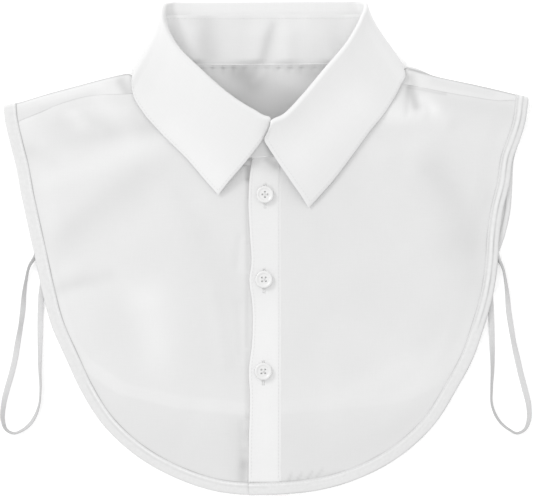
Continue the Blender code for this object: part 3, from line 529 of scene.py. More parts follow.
def stitch_row(name, line, normal, pitch=None, thread=None, across=None):
    """Row of stitches: along the line, each one a rod whose radius swells and falls as a sine
    and whose ends dip into the cloth. Where across is given, they are that long across it."""
    pitch = pitch or sizes().stitch / MM
    thread = thread or sizes().thread / MM
    reach = reach_of(line)
    count = max(2, int(reach[-1] / pitch))
    at = (np.arange(count) + 0.5) * reach[-1] / count
    up = unit(read_row(normal, reach, at))
    along = unit(read_row(line, reach, at + 0.1) - read_row(line, reach, at - 0.1))
    side = np.cross(up, along)
    length = pitch * STITCH_SHARE
    if across is not None:
        along, side, length = side, along, across
    t = np.linspace(0, 1, STITCH_RINGS)
    angle = np.linspace(0, 2 * np.pi, STITCH_RINGS, endpoint=False)
    swell = thread * np.sqrt(np.maximum(np.sin(np.pi * t), 0.04))
    dip = thread * (0.5 - 1.6 * (2 * t - 1) ** 4)
    rings = (
        read_row(line, reach, at)[:, None, None]
        + along[:, None, None] * ((t - 0.5) * length)[None, :, None, None]
        + side[:, None, None] * (swell[:, None] * np.cos(angle))[None, :, :, None]
        + up[:, None, None] * (dip[:, None] + swell[:, None] * np.sin(angle))[None, :, :, None]
    )
    one = np.arange(STITCH_RINGS ** 2).reshape(STITCH_RINGS, STITCH_RINGS)
    turned = np.roll(one, -1, axis=1)
    quads = np.stack([one[:-1], turned[:-1], turned[1:], one[1:]], axis=-1).reshape(-1, 4)
    caps = [one[0, [3, 2, 1, 0]], one[0, [0, 5, 4, 3]], one[-1, :4], one[-1, [3, 4, 5, 0]]]
    faces = np.concatenate([quads, caps])[None] + one.size * np.arange(count)[:, None, None]
    return put(name, rings.reshape(-1, 3), faces.reshape(-1, 4), thread_cotton())


def edge_row(middle, half, place, name):
    """Stitches along one row or column of a piece of cloth, on its upper side."""
    out = normals_of(middle)
    out *= np.sign(out[..., 2:])
    thick = np.broadcast_to(half, middle.shape[:2])
    line = middle[place] + out[place] * (thick[place][:, None] - STITCH_SUNK)
    return stitch_row(name, line, out[place])


def tube(name, grid, material, uv=None, layers_and_shade=None):
    """Closed surface from rings, each end filled with strips across its ring."""
    rings, around = grid.shape[:2]
    index = np.arange(rings * around).reshape(rings, around)
    turned = np.roll(index, -1, axis=1)
    quads = np.stack([index[:-1], index[1:], turned[1:], turned[:-1]], axis=-1).reshape(-1, 4)
    k = np.arange(around // 2 - 1)
    strips = np.stack([k, k + 1, around - 2 - k, around - 1 - k], axis=1)
    faces = np.concatenate([quads, index[0][strips], index[-1][strips[:, ::-1]]])
    return put(name, grid.reshape(-1, 3), faces, material, uv, layers_and_shade)


ROD_SIDES = 10


def rod(name, line, radius, material):
    """Round rod along a line, with narrow ends."""
    along = unit(np.gradient(line, axis=0))
    side = unit(np.cross(along, (0.0, 0.0, 1.0)))
    up = np.cross(side, along)
    angle = np.linspace(0, 2 * np.pi, ROD_SIDES, endpoint=False)
    share = np.linspace(0, 1, len(line))
    thick = radius * np.minimum(1.0, 0.05 + 3 * np.minimum(share, 1 - share))
    ring = side[:, None] * np.cos(angle)[None, :, None]
    ring = ring + up[:, None] * np.sin(angle)[None, :, None]
    return tube(name, line[:, None] + ring * thick[:, None, None], material)


def join(name, parts):
    """One object from several of the same kind, so that a row of pieces is a single piece."""
    bpy.ops.object.select_all(action="DESELECT")
    for item in parts:
        item.select_set(True)
    bpy.context.view_layer.objects.active = parts[0]
    bpy.ops.object.join()
    parts[0].name = name
    return parts[0]


# Materials

# The places of the Mix node's sockets when it mixes colours
MIX_COLOUR_INPUTS = (0, 6, 7)
MIX_COLOUR_OUTPUT = 2

# Spacing of the elastic's ribs and of its cross threads, in metres
RIB_PITCH = 0.0008
KNIT_PITCH = 0.0011


def nodes_of(name):
    """A new material, its node tree and its shader."""
    made = bpy.data.materials.new(name)
    made.use_nodes = True
    return made, made.node_tree, made.node_tree.nodes["Principled BSDF"]


def calc(tree, value, *steps):
    """Maths nodes in a row: each step is an operation and the socket or number it takes."""
    for operation, other in zip(steps[::2], steps[1::2]):
        node = tree.nodes.new("ShaderNodeMath")
        node.operation = operation
        for socket, item in zip(node.inputs, (value, other)):
            if isinstance(item, (int, float)):
                socket.default_value = item
            else:
                tree.links.new(item, socket)
        value = node.outputs[0]
    return value


def noise(tree, vector, stretch, detail):
    """Noise on the map, stretched by a Mapping node, in lengths per metre."""
    mapping = tree.nodes.new("ShaderNodeMapping")
    mapping.inputs["Scale"].default_value = stretch
    tree.links.new(vector, mapping.inputs["Vector"])
    grain = tree.nodes.new("ShaderNodeTexNoise")
    grain.inputs["Scale"].default_value = 1.0
    grain.inputs["Detail"].default_value = detail
    tree.links.new(mapping.outputs["Vector"], grain.inputs["Vector"])
    return grain.outputs["Fac"]


def chart_of(tree):
    """The cloth's map, and the places along its two axes."""
    chart = tree.nodes.new("ShaderNodeUVMap")
    chart.uv_map = "cloth"
    split = tree.nodes.new("ShaderNodeSeparateXYZ")
    tree.links.new(chart.outputs["UV"], split.inputs["Vector"])
    return chart.outputs["UV"], split.outputs["X"], split.outputs["Y"]


def place_of(tree):
    """The object's own coordinates."""
    return tree.nodes.new("ShaderNodeTexCoord").outputs["Object"]


def layers_and_shade_of(tree):
    """The attribute of cloth layers and painted shade and highlights."""
    node = tree.nodes.new("ShaderNodeAttribute")
    node.attribute_name = "layers_and_shade"
    return node.outputs["Fac"]


def bumped(tree, shader, height, strength, distance):
    """The height as a bump in the shader's normal."""
    bump = tree.nodes.new("ShaderNodeBump")
    bump.inputs["Strength"].default_value = strength
    bump.inputs["Distance"].default_value = distance
    tree.links.new(height, bump.inputs["Height"])
    tree.links.new(bump.outputs["Normal"], shader.inputs["Normal"])


def tinted(tree, shader, colour, shade, **values):
    """The colour times the shade as the base colour, and the shader's plain values."""
    tint = tree.nodes.new("ShaderNodeVectorMath")
    tint.operation = "SCALE"
    if isinstance(colour, bpy.types.NodeSocket):
        tree.links.new(colour, tint.inputs[0])
    else:
        tint.inputs[0].default_value = colour
    tree.links.new(shade, tint.inputs["Scale"])
    tree.links.new(tint.outputs["Vector"], shader.inputs["Base Color"])
    for name, value in values.items():
        shader.inputs[name.replace("_", " ")].default_value = value


def cotton(name, single, doubled, pitch, relief=1.0, mottle=0.0):
    """Plain-weave cotton: warp times weft sines for the weave, two stretched noises for slubs,
    a slow noise for tone, and a lighter colour where more cloth lies underneath. The same
    attribute also carries painted shade and painted highlights, and may pass 0 and 1 for
    painted dark lines and light rims along seams, ridges and edges."""
    made, tree, shader = nodes_of(name)
    chart, across, along = chart_of(tree)
    weft = calc(tree, along, "MULTIPLY", math.pi / pitch, "SINE", 0.0)
    weave = calc(tree, across, "MULTIPLY", math.pi / pitch, "SINE", 0.0, "MULTIPLY", weft)
    upright = noise(tree, chart, (1500.0, 90.0, 1.0), 2.0)
    slub = calc(tree, upright, "ADD", noise(tree, chart, (90.0, 1500.0, 1.0), 2.0))
    slow = noise(tree, chart, (26.0, 26.0, 26.0), 3.0)
    height = calc(tree, weave, "ADD", calc(tree, slub, "MULTIPLY", 2.4))
    bumped(tree, shader, height, 0.08 * relief, 0.00004)
    # Cotton colour by the attribute: lighter over more layers, plus painted shade and highlights
    tone = tree.nodes.new("ShaderNodeMix")
    tone.data_type = "RGBA"
    tone.clamp_factor = False
    factor, first, second = (tone.inputs[place] for place in MIX_COLOUR_INPUTS)
    first.default_value = (*single, 1.0)
    second.default_value = (*doubled, 1.0)
    tree.links.new(layers_and_shade_of(tree), factor)
    blotch = noise(tree, chart, (520.0, 330.0, 1.0), 2.0)
    blotch = calc(tree, blotch, "SUBTRACT", 0.5, "MULTIPLY", mottle)
    slow = calc(tree, slow, "MULTIPLY", 0.03)
    shade = calc(tree, slub, "MULTIPLY", 0.03, "ADD", 0.955, "ADD", slow, "ADD", blotch)
    tinted(
        tree, shader, tone.outputs[MIX_COLOUR_OUTPUT], shade, Roughness=0.82,
        Specular_IOR_Level=0.2, Sheen_Weight=0.12, Sheen_Roughness=0.5,
    )
    return made


def elastic_knit(name, colour):
    """Narrow knitted elastic: fine ribs along it from a sine across, cross threads, and
    painted shade where the attribute falls, where the flat turns on its edge."""
    made, tree, shader = nodes_of(name)
    chart, across, along = chart_of(tree)
    rib = calc(tree, across, "MULTIPLY", 2 * math.pi / RIB_PITCH, "SINE", 0.0)
    row = calc(tree, along, "MULTIPLY", 2 * math.pi / KNIT_PITCH, "SINE", 0.0, "MULTIPLY", 0.5)
    bumped(tree, shader, calc(tree, rib, "ADD", row), 0.5, 0.00012)
    fleck = calc(tree, noise(tree, chart, (900.0, 500.0, 1.0), 2.0), "MULTIPLY", 0.12)
    shade = calc(
        tree, rib, "MULTIPLY", 0.03, "ADD", 0.93, "ADD", fleck, "MULTIPLY", layers_and_shade_of(tree)
    )
    tinted(tree, shader, colour, shade, Roughness=0.75, Sheen_Weight=0.15)
    return made


def resin(name, colour):
    """Satin button resin with a faint cloudiness."""
    made, tree, shader = nodes_of(name)
    cloud = noise(tree, place_of(tree), (260.0, 260.0, 260.0), 3.0)
    shade = calc(tree, cloud, "MULTIPLY", 0.08, "ADD", 0.94)
    tinted(tree, shader, colour, shade, Roughness=0.28, Coat_Weight=0.25, Coat_Roughness=0.15)
    return made


def sewing_thread(name, colour):
    """Polished cotton thread with its twist as a fine bump."""
    made, tree, shader = nodes_of(name)
    twist = noise(tree, place_of(tree), (5200.0, 5200.0, 5200.0), 1.0)
    bumped(tree, shader, twist, 0.3, 0.00004)
    tinted(tree, shader, colour, calc(tree, twist, "MULTIPLY", 0.08, "ADD", 0.94), Roughness=0.55)
    return made


# Settings


class CollarSizes(PropertyGroup):
    cloth: FloatProperty(
        name="Single cotton", description="Thickness of the fronts and the back",
        default=0.0005, min=0.0002, max=0.001, unit="LENGTH",
    )
    crisp: FloatProperty(
        name="Collar cloth", description="Thickness of the doubled and interlined pieces",
        default=0.0009, min=0.0005, max=0.001, unit="LENGTH",
    )
    crease: FloatProperty(
        name="Creases", description="Strength of the fine creases in the fronts",
        default=1.0, min=0.0, max=2.0,
    )
    weave: FloatProperty(
        name="Thread spacing", description="Distance between neighbouring threads of the weave",
        default=0.00042, min=0.0002, max=0.002, unit="LENGTH", precision=5,
    )
    stitch: FloatProperty(
        name="Stitch length", description="Length of one stitch and its gap",
        default=0.0024, min=0.001, max=0.005, unit="LENGTH",
    )
    thread: FloatProperty(
        name="Thread radius", description="Half the thickness of the sewing thread",
        default=0.00016, min=0.00005, max=0.0005, unit="LENGTH", precision=5,
    )
    elastic_width: FloatProperty(
        name="Elastic width", description="Width of the flat elastic",
        default=0.004, min=0.002, max=0.008, unit="LENGTH",
    )
    elastic_thickness: FloatProperty(
        name="Elastic thickness", description="Thickness of the flat elastic",
        default=0.0009, min=0.0004, max=0.002, unit="LENGTH",
    )
    button_radius: FloatProperty(
        name="Button radius", description="Half the width of a front button",
        default=0.0057, min=0.004, max=0.008, unit="LENGTH",
    )
    button_steps: IntProperty(
        name="Button steps", description="Points round each button", default=96, min=24, max=160,
    )


class CollarColours(PropertyGroup):
    single: FloatVectorProperty(
        name="Cotton", description="Colour of one layer of cotton", subtype="COLOR",
        default=(0.620, 0.620, 0.620), min=0.0, max=1.0,
    )
    doubled: FloatVectorProperty(
        name="Doubled cotton", description="Colour where cotton lies on cotton",
        subtype="COLOR", default=(0.820, 0.820, 0.820), min=0.0, max=1.0,
    )
    # Painted shade: the dark end of the cotton mix, used for the shade inside the neck and on the
    # stand
    inside: FloatVectorProperty(
        name="Inside", description="Colour of the thin back that shows inside the neck",
        subtype="COLOR", default=(0.520, 0.520, 0.520), min=0.0, max=1.0,
    )
    crisp: FloatVectorProperty(
        name="Collar", description="Colour of the collar, band and bindings",
        subtype="COLOR", default=(0.825, 0.825, 0.825), min=0.0, max=1.0,
    )
    binding: FloatVectorProperty(
        name="Binding", description="Colour of the bias bindings", subtype="COLOR",
        default=(0.778, 0.778, 0.778), min=0.0, max=1.0,
    )
    elastic: FloatVectorProperty(
        name="Elastic", description="Colour of the side loops", subtype="COLOR",
        default=(0.730, 0.730, 0.732), min=0.0, max=1.0,
    )
    button: FloatVectorProperty(
        name="Button", description="Colour of the buttons", subtype="COLOR",
        default=(0.840, 0.840, 0.838), min=0.0, max=1.0,
    )
    thread: FloatVectorProperty(
        name="Thread", description="Colour of the stitching", subtype="COLOR",
        default=(0.780, 0.780, 0.780), min=0.0, max=1.0,
    )
    floor: FloatVectorProperty(
        name="Floor", description="Colour of the surface it lies on", subtype="COLOR",
        default=(0.97, 0.97, 0.97), min=0.0, max=1.0,
    )


def sizes():
    """The sizes as they are set in the scene."""
    return bpy.context.scene.collar_sizes


def colours():
    """The colours as they are set in the scene."""
    return bpy.context.scene.collar_colours


def shared(name, make, *values):
    """The material of that name, made the first time it is asked for."""
    found = bpy.data.materials.get(name)
    return found if found else make(name, *values)


def soft_cotton():
    return shared("woven_soft", cotton, colours().single, colours().doubled, sizes().weave)


# The collar's cotton mixes from the painted-shade inside colour up to its own colour
def crisp_cotton():
    return shared("woven_crisp", cotton, colours().inside, colours().crisp, sizes().weave, 0.7)


def thread_cotton():
    return shared("sewing_thread", sewing_thread, colours().thread)


def seat(piece, slot, *nodes):
    """The piece rides on the part and hides the solids it stands for. The slot is not used."""
    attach(piece, "root")
    if nodes:
        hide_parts(*nodes)
    return piece


# Stage

CAMERA_PLACE = (0.00033, 0.0, 2.4)
VIEW_WIDTH = 0.3571
WHITE = (1.0, 1.0, 1.0, 1.0)
ROOM_STRENGTH = 0.92
WINDOW_PLACE = (-1.3, 1.1, 1.1)
WINDOW_SIZE = 0.5
WINDOW_POWER = 10.5
FLOOR_GLOW = 0.22


class COLLAR_OT_stage(Operator):
    """Camera above, a soft light and a pale floor"""

    bl_idname = "collar.stage"
    bl_label = "Stage"

    def execute(self, context):
        scene = context.scene
        lens = bpy.data.cameras.new("camera_above")
        lens.sensor_width = 36.0
        lens.lens = lens.sensor_width * CAMERA_PLACE[2] / VIEW_WIDTH
        camera = bpy.data.objects.new("camera_above", lens)
        camera.location = CAMERA_PLACE
        scene.collection.objects.link(camera)
        scene.camera = camera

        scene.view_settings.view_transform = "Standard"
        world = bpy.data.worlds.new("room")
        world.use_nodes = True
        sky = world.node_tree.nodes["Background"]
        sky.inputs["Color"].default_value = WHITE
        sky.inputs["Strength"].default_value = ROOM_STRENGTH
        scene.world = world

        light = bpy.data.lights.new("window", "AREA")
        light.size = WINDOW_SIZE
        light.energy = WINDOW_POWER
        lamp = bpy.data.objects.new("window", light)
        lamp.location = WINDOW_PLACE
        aim = unit(np.array(WINDOW_PLACE))
        lamp.rotation_euler = (math.acos(aim[2]), 0.0, math.atan2(aim[1], aim[0]) + math.pi / 2)
        scene.collection.objects.link(lamp)

        paper, tree, shader = nodes_of("pale_paper")
        grain = noise(tree, place_of(tree), (3.0, 3.0, 3.0), 2.0)
        shade = calc(tree, grain, "MULTIPLY", 0.01, "ADD", 0.995)
        tinted(
            tree, shader, colours().floor, shade, Roughness=0.9, Emission_Color=WHITE,
            Emission_Strength=FLOOR_GLOW,
        )
        bpy.ops.mesh.primitive_plane_add(size=6.0, location=(0.0, 0.0, -0.0003))
        floor = context.active_object
        floor.name = "floor"
        floor.data.materials.append(paper)
        return {"FINISHED"}


# Elastic loops


def elastic_loop(name, node, route):
    """Flat elastic: a rounded flat section carried along the route, turned about its line."""
    places = curve(route, np.linspace(0, 1, LOOP_POINTS))
    width = sizes().elastic_width / MM
    thick = sizes().elastic_thickness / MM
    turn = np.radians(places[:, 3])
    lift = places[:, 2] + (width - thick) / 2 * np.abs(np.sin(turn)) + thick / 2 + TABLE_GAP
    centre = np.stack([places[:, 0], places[:, 1], lift], axis=1)
    along = unit(np.gradient(centre, axis=0))
    level = unit(np.cross(along, (0.0, 0.0, 1.0)))
    up = np.cross(level, along)
    flat = level * np.cos(turn)[:, None] + up * np.sin(turn)[:, None]
    face = up * np.cos(turn)[:, None] - level * np.sin(turn)[:, None]
    angle = np.linspace(0, 2 * np.pi, LOOP_SIDES, endpoint=False)
    across = (width / 2) * np.sign(np.cos(angle)) * np.abs(np.cos(angle)) ** 0.45
    out = (thick / 2) * np.sign(np.sin(angle)) * np.abs(np.sin(angle)) ** 0.8
    grid = centre[:, None] + flat[:, None] * across[None, :, None]
    grid = grid + face[:, None] * out[None, :, None]
    uv = np.stack([np.tile(across, len(centre)), np.repeat(reach_of(centre), len(angle))], axis=1)
    knit = shared("knitted_elastic", elastic_knit, colours().elastic)
    # Painted shade where the elastic turns on its edge
    shade = 1 - LOOP_EDGE_SHADE * np.sin(turn) ** 2
    loop = tube(name, grid, knit, uv, np.repeat(shade, len(angle)))
    seat(loop, "elastic", node)


class COLLAR_OT_loops(Operator):
    """The two elastic side loops, which lie on the table"""

    bl_idname = "collar.loops"
    bl_label = "Elastic loops"

    def execute(self, context):
        elastic_loop("right_elastic", "right_elastic_loop", RIGHT_LOOP)
        elastic_loop("left_elastic", "left_elastic_loop", LEFT_LOOP)
        return {"FINISHED"}


# Back

SHOULDER_COLUMNS = 60
BACK_ROWS = 110
BACK_SIDE = 0.315
FLAP_ROWS = 10
BACK_INSET = 4.0
NECK_HALF = 62.0
NECK_SEAM_Y = 121.6
PUCKER_PITCH = 7.4
PUCKER_REACH = 4.5
PUCKER_DEPTH = 1.1

# Painted shade inside the neck: the share of the lighter cotton's tone there, and its
# # softer painted shade and highlights
NECK_SHADE_LEVEL = 0.34
# Painted shade: a dark line along the shoulder folds, and painted shade and highlights on the
# turned flaps
SHOULDER_FOLD_SHADE = -1.0
SHOULDER_SHADING = (
    # x0, y0, x1, y1, half width, change
    (-97, 111, -93, 104, 3.5, -0.5), (97, 114, 98, 108, 3, -0.4), (112, 112, 150, 104, 4, -0.16),
    (-150, 98, -110, 109, 2.5, 0.1), (-162, 88, -118, 99, 6, -0.24),
)
NECK_SHADING = (
    # x0, y0, x1, y1, half width, change
    (-17, 117, -9, 111, 7, -0.42), (-8, 103, 9, 92, 9, -0.04), (0, 92, 3, 84, 9, 0.06),
    (-1.5, 119, -8, 111.5, 2.4, 0.2), (-43, 120, -30, 105, 8, 0.34), (8, 118, 30, 106, 8, 0.28),
)


def shoulder_ridge(fold_line, steps):
    """Middle of the wall along the shoulder fold: plan, low height and turn radius."""
    ridge = curve(fold_line, np.linspace(0, 1, OUTLINE_SAMPLES))
    tip = np.argmax(np.abs(ridge[:, 0]) <= abs(fold_line[0][0]) - BACK_INSET)
    ridge = curve(ridge[tip:], np.linspace(0, 1, steps + 1))
    low = back_rest(ridge[:, 0], ridge[:, 1] - READING_STEP)
    radius = (front_rest(ridge[:, 0], ridge[:, 1] - READING_STEP) - low) / 2
    return ridge, low + CLOTH_WALL / 2, radius


def neck_pucker(x, y, seam_y):
    """Short puckers under the neck seam: uneven narrow dips that fade with distance from it."""
    away = np.maximum(seam_y - y, 0.0)
    wave = ripple(x, y, PUCKER_PITCH, 0.0) ** 3
    deep = 0.35 + 0.65 * ripple(x, y, 41.0, 0.2)
    return -PUCKER_DEPTH * deep * wave * np.exp(-(away / PUCKER_REACH) ** 2)


def back_grid():
    """Back: flaps in front of the shoulder seams' folds, the turn over them, then the body."""
    right, right_low, right_radius = shoulder_ridge(RIGHT_SHOULDER_FOLD, SHOULDER_COLUMNS)
    left, left_low, left_radius = shoulder_ridge(LEFT_SHOULDER_FOLD, SHOULDER_COLUMNS)
    neck = station("seam", np.linspace(RIGHT_CREASE, LEFT_CREASE, 161)[1:-1])
    neck_low = back_rest(neck[:, 0], neck[:, 1]) + CLOTH_WALL / 2
    neck_rise = neck[:, 2] - neck_low
    neck_top = np.stack([neck[:, 0], neck[:, 1] - 0.1 - neck_rise / 2], axis=1)
    top = np.concatenate([right, neck_top, left[::-1]])
    low = np.concatenate([right_low, neck_low, left_low[::-1]])
    rise = np.concatenate([right_radius, neck_rise, left_radius[::-1]])
    turn = np.concatenate([right_radius, np.full(len(neck), NECK_TURN), left_radius[::-1]])

    def hairpin(degrees):
        angle = math.radians(degrees)
        y = top[:, 1] - turn * (1 - math.sin(angle))
        return np.stack([top[:, 0], y, low + rise * (1 - math.cos(angle))], axis=1)

    turned = [hairpin(degrees) for degrees in np.linspace(90, 0, 9)]
    edge = inset(curve(BACK_EDGE, np.linspace(0, 1, OUTLINE_SAMPLES)), GARMENT_MIDDLE, BACK_INSET)
    start = turned[-1]
    shares = np.linspace(0, 1, BACK_ROWS + 1) ** 1.25
    sides = BACK_SIDE * shares
    right_side = curve(edge, sides)
    left_side = curve(edge, 1 - sides)
    for side, corner in ((right_side, start[0]), (left_side, start[-1])):
        fade = (1 - shares)[:, None] ** 3
        side += (corner[:2] - side[0]) * fade
    bottom = curve(edge, np.linspace(BACK_SIDE, 1 - BACK_SIDE, len(top)))
    plan = patch(start[:, :2], left_side, bottom, right_side, shares)
    main = lay(plan[1:], back_rest, CLOTH_WALL)
    below = neck_pucker(main[..., 0], main[..., 1], NECK_SEAM_Y)
    main[..., 2] = np.maximum(main[..., 2] + below, 0.3)

    seam = np.concatenate([
        curve(((-169.8, 83.4),) + RIGHT_SHOULDER_SEAM, np.linspace(0, 1, SHOULDER_COLUMNS + 1)),
        neck[:, :2],
        curve(((170.4, 98.0),) + LEFT_SHOULDER_SEAM, np.linspace(1, 0, SHOULDER_COLUMNS + 1)),
    ])
    over = [hairpin(degrees) for degrees in np.linspace(180, 90, 9)[:-1]]
    flap = []
    for share in np.linspace(1, 0, FLAP_ROWS + 1)[:-1]:
        row = over[0][:, :2] * (1 - share) + seam * share
        flap.append(lay(row, front_rest, CLOTH_WALL))
    forward = np.stack(flap + over)
    ends = [SHOULDER_COLUMNS, SHOULDER_COLUMNS + len(neck) + 1]
    for row in forward:
        for axis in (1, 2):
            row[ends[0] + 1:ends[1], axis] = np.interp(neck[:, 0], row[ends, 0], row[ends, axis])
    middle = np.concatenate([forward, np.stack(turned), main])
    keep = np.ones((middle.shape[0] - 1, middle.shape[1] - 1), bool)
    keep[:len(forward), ends[0]:ends[1]] = False
    return middle, keep, len(forward)


class COLLAR_OT_back(Operator):
    """The back, whose shoulders turn forward over the fronts"""

    bl_idname = "collar.back"
    bl_label = "Back"

    def execute(self, context):
        middle, keep, turned_rows = back_grid()
        x, y = middle[..., 0], middle[..., 1]
        # Painted shade inside the neck, deeper in the puckers' dips, fading past the neck's sides
        # and lower down
        shade = NECK_SHADE_LEVEL + ridges(x, y, NECK_SHADING) + 0.25 * neck_pucker(x, y, NECK_SEAM_Y)
        neck = (1 - ramp((np.abs(x) - NECK_HALF) / 12.0)) * ramp((y - 20.0) / 30.0)
        layers_and_shade = 1 + (shade - 1) * neck
        # Painted shade along the shoulder folds and painted shade and highlights on the flaps, on
        # the back's other side
        ridge = segment_distance(x, y, *SHOULDERS)
        under = 1 + SHOULDER_FOLD_SHADE * np.exp(-(ridge / 0.8) ** 2)
        under[:turned_rows] += ridges(x, y, SHOULDER_SHADING)[:turned_rows]
        material = shared(
            "woven_back", cotton, colours().inside, colours().doubled, sizes().weave
        )
        piece = shell(
            "back_cotton", middle, sizes().cloth / MM / 2, material, keep=keep, plan_map=True,
            layers_and_shade=layers_and_shade, under=under,
        )
        seat(piece, "cotton", "back_panel")
        return {"FINISHED"}


# Fronts and band

FRONT_COLUMNS = 130
NECK_ROWS = 44
CENTRE_ROWS = 120
FRONT_SIDE = 0.60
FRONT_INSET = 4.0
HEM_LAYERS = 0.74

# Painted shade and highlights of the fronts, as shares of the step between the two cotton
# # tones
FRONT_SHADING = (
    # x0, y0, x1, y1, half width, change
    (-77, -35, -71, -72, 14, 0.24), (-111, 100, -94, 80, 8, 0.2), (-162, 84, -140, 62, 10, 0.12),
    (-158, 65, -76, 81, 6, -0.15), (-106, 79, -76, 82, 6, -0.14), (-145, 3, -84, 50, 8, -0.12),
    (-92, 36, -62, 52, 10, -0.06), (-140, -28, -106, -18, 5, -0.18), (-130, 90, -124, 83, 5, 0.22),
    (-12.1, 58, -12, 46, 1.7, -1.2), (-12.6, 46, -12.2, 34, 1.4, -0.6),
    (-13, 32, -12.6, 4, 1.5, -0.4), (-12.6, 2, -12.2, -14, 1.8, -0.35),
    (-12.6, -18, -13, -66, 1.4, -0.34), (-12.8, -70, -12.6, -114, 1.5, -0.3),
    (-12.6, -112, -12.8, -122, 1.8, -0.16), (-13, -118, -13.6, -128, 2.4, -0.22),
    (-13.2, -124, -13.8, -136, 2.6, -0.26), (-14, -136, -15, -146, 2.6, -0.3),
    (-14.4, -144, -16, -156, 3.2, -0.62), (15, -155.5, 17, -151.5, 0.9, -0.45),
    (20.5, -155.5, 24, -151, 0.9, -0.45), (27.5, -154.5, 31, -150, 0.9, -0.4),
    (34, -153, 38, -148, 0.9, -0.35), (96.3, 106.5, 100.2, 95, 3.3, -0.85),
    (94.5, 108.2, 120, 103.2, 1, -0.55), (124, 97, 162, 91, 6, -0.1),
    (-156, 64, -142, 58, 6, -0.1), (-146, 46, -74, 70, 8, 0.17), (-154, -4, -147, -22, 4, 0.12),
    (-60, 36, -44, 12, 8, -0.06), (-106, -16, -92, -30, 9, 0.06), (70, 70, 92, 60, 10, 0.08),
    (56, -96, 96, -76, 7, 0.08), (106, 100, 112, 93, 4.5, 0.4), (80, 88, 91, 88, 5.5, 0.35),
    (14, -157, 50, -151, 2.2, -0.25), (-44, 4, -22, -34, 12, -0.1),
    (-20, -118, -20, -150, 6, -0.12), (86, 97, 114, 87, 8, 0.2), (113, 52, 142, 4, 12, -0.28),
    (126, 0, 148, -30, 14, -0.18), (40, 40, 60, -60, 26, -0.08), (60, -60, 100, -80, 20, 0.1),
)
BAND_ROWS = 260
# Painted shade under the stand and the collar's point, a painted highlight and a faint dark line
# at the band's right edge, lighter lower down
BAND_SHADING = (
    # x0, y0, x1, y1, half width, change
    (0, -50, 0, -150, 16, 0.13), (1.5, 59, 6.5, 55, 2.6, -0.55), (-9, 57.5, 7, 53, 4.5, -0.22),
    (BAND_RIGHT_EDGE - 0.4, 52, BAND_RIGHT_EDGE - 0.4, -154, 0.4, 0.15),
    (BAND_RIGHT_EDGE - 1.8, 52, BAND_RIGHT_EDGE - 1.8, -154, 0.6, -0.05),
)
BAND_TUCK = 1.4


def front_height(rest, x, y):
    """Rest height with the fine creases and the cotton's unevenness, which fade out at the
    binding and the band. The dip where the shoulder flap lies over the front is made in
    front_panel."""
    free = ramp((segment_distance(x, y, *SIDES) - 6.0) / 10.0)
    beside = ramp((np.abs(x) - 11.0) / 5.0)
    fine = ridges(x, y, FRONT_CREASES) * sizes().crease
    return rest(x, y) + free * beside * (fine + hand(x, y) - 0.15)


def front_panel(name, node, seam, neck, corner, outline, rest):
    """One front: shoulder seam on top, neck seam and centre line inside, binding outside."""
    neck_line = neck[:, :2] + inward(neck, NECK_MIDDLE) * 0.2
    centre = np.linspace(corner, (corner[0], BAND_FOOT), CENTRE_ROWS + 1)
    inner = np.concatenate([neck_line[:-1], centre])
    rows = len(inner)
    edge = inset(curve(outline, np.linspace(0, 1, OUTLINE_SAMPLES)), GARMENT_MIDDLE, FRONT_INSET)
    begin = np.argmin(np.hypot(*(edge - np.array(seam[0])).T)) + 2
    end = np.argmin(np.abs(edge[:, 0] - corner[0]))
    edge = edge[begin:end + 1]
    outer = curve(edge, np.linspace(0, FRONT_SIDE, rows))
    bottom = curve(edge, np.linspace(FRONT_SIDE, 1, FRONT_COLUMNS + 1))
    inner[-1] = bottom[-1]
    top = curve(seam, np.linspace(0, 1, FRONT_COLUMNS + 1)) + (0, 0.4)
    top[0] = outer[0]
    inner[0] = top[-1]
    plan = patch(top, inner, bottom, outer, np.linspace(0, 1, rows))
    if outline[0][0] > 0:
        plan = plan[:, ::-1]
    x, y = plan[..., 0], plan[..., 1]
    tucked = 0.45 * (1 - ramp((segment_distance(x, y, seam) - 0.4) / 1.6))
    height = front_height(rest, x, y) + CLOTH_WALL / 2 - tucked
    middle = np.concatenate([plan, np.maximum(height, 0.3)[..., None]], axis=-1)
    inside = is_inside(x, y, BACK_OUTLINE)
    hem = segment_distance(x, y, BACK_EDGE) * np.where(inside, 1.0, -1.0)
    bound = ramp((hem + 1.0) / 2.0) * (1 - ramp((hem - BINDING_WIDTH + 1.0) / 3.0))
    side = 0.10 - 0.07 * ramp((x + 20.0) / 60.0)
    beyond = 0.07 * np.exp(-((hem - 8.0) / 14.0) ** 2) - 0.05 * (1 - ramp((hem + 2.0) / 4.0))
    # Lighter over the back's binding and beside it, darker past the back's hem, plus painted shade
    # and highlights
    layers_and_shade = HEM_LAYERS + side * bound + beyond + ridges(x, y, FRONT_SHADING)
    piece = shell(
        name, middle, sizes().cloth / MM / 2, soft_cotton(), plan_map=True, layers_and_shade=layers_and_shade,
        under=np.full(1, HEM_LAYERS),
    )
    seat(piece, "cotton", node)


def band_grid():
    """Band: from its wavering left edge to its straight right edge, on the right front."""
    y = np.linspace(BAND_TOP + BAND_TUCK, BAND_FOOT - 1.0, BAND_ROWS + 1)
    wavy = curve(BAND_LEFT_EDGE, np.linspace(0, 1, OUTLINE_SAMPLES))
    left = np.stack([np.interp(-y, -wavy[:, 1], wavy[:, 0]), y], axis=1)
    right = np.stack([np.full(len(left), BAND_RIGHT_EDGE), left[:, 1]], axis=1)
    share = np.concatenate([[0.0, 0.01, 0.025, 0.05, 0.08], np.linspace(0.115, 1, 24)])
    plan = left[:, None] * (1 - share[None, :, None]) + right[:, None] * share[None, :, None]
    middle = lay(plan, front_rest, BAND_WALL)
    middle[..., 2] += OVER_CLOTH
    x, y = middle[..., 0], middle[..., 1]
    soft = 0.10 * ripple(x, y, 33.0, 1.45) + 0.05 * ripple(x, y, 13.0, 1.7)
    middle[..., 2] += soft - 0.08
    return middle


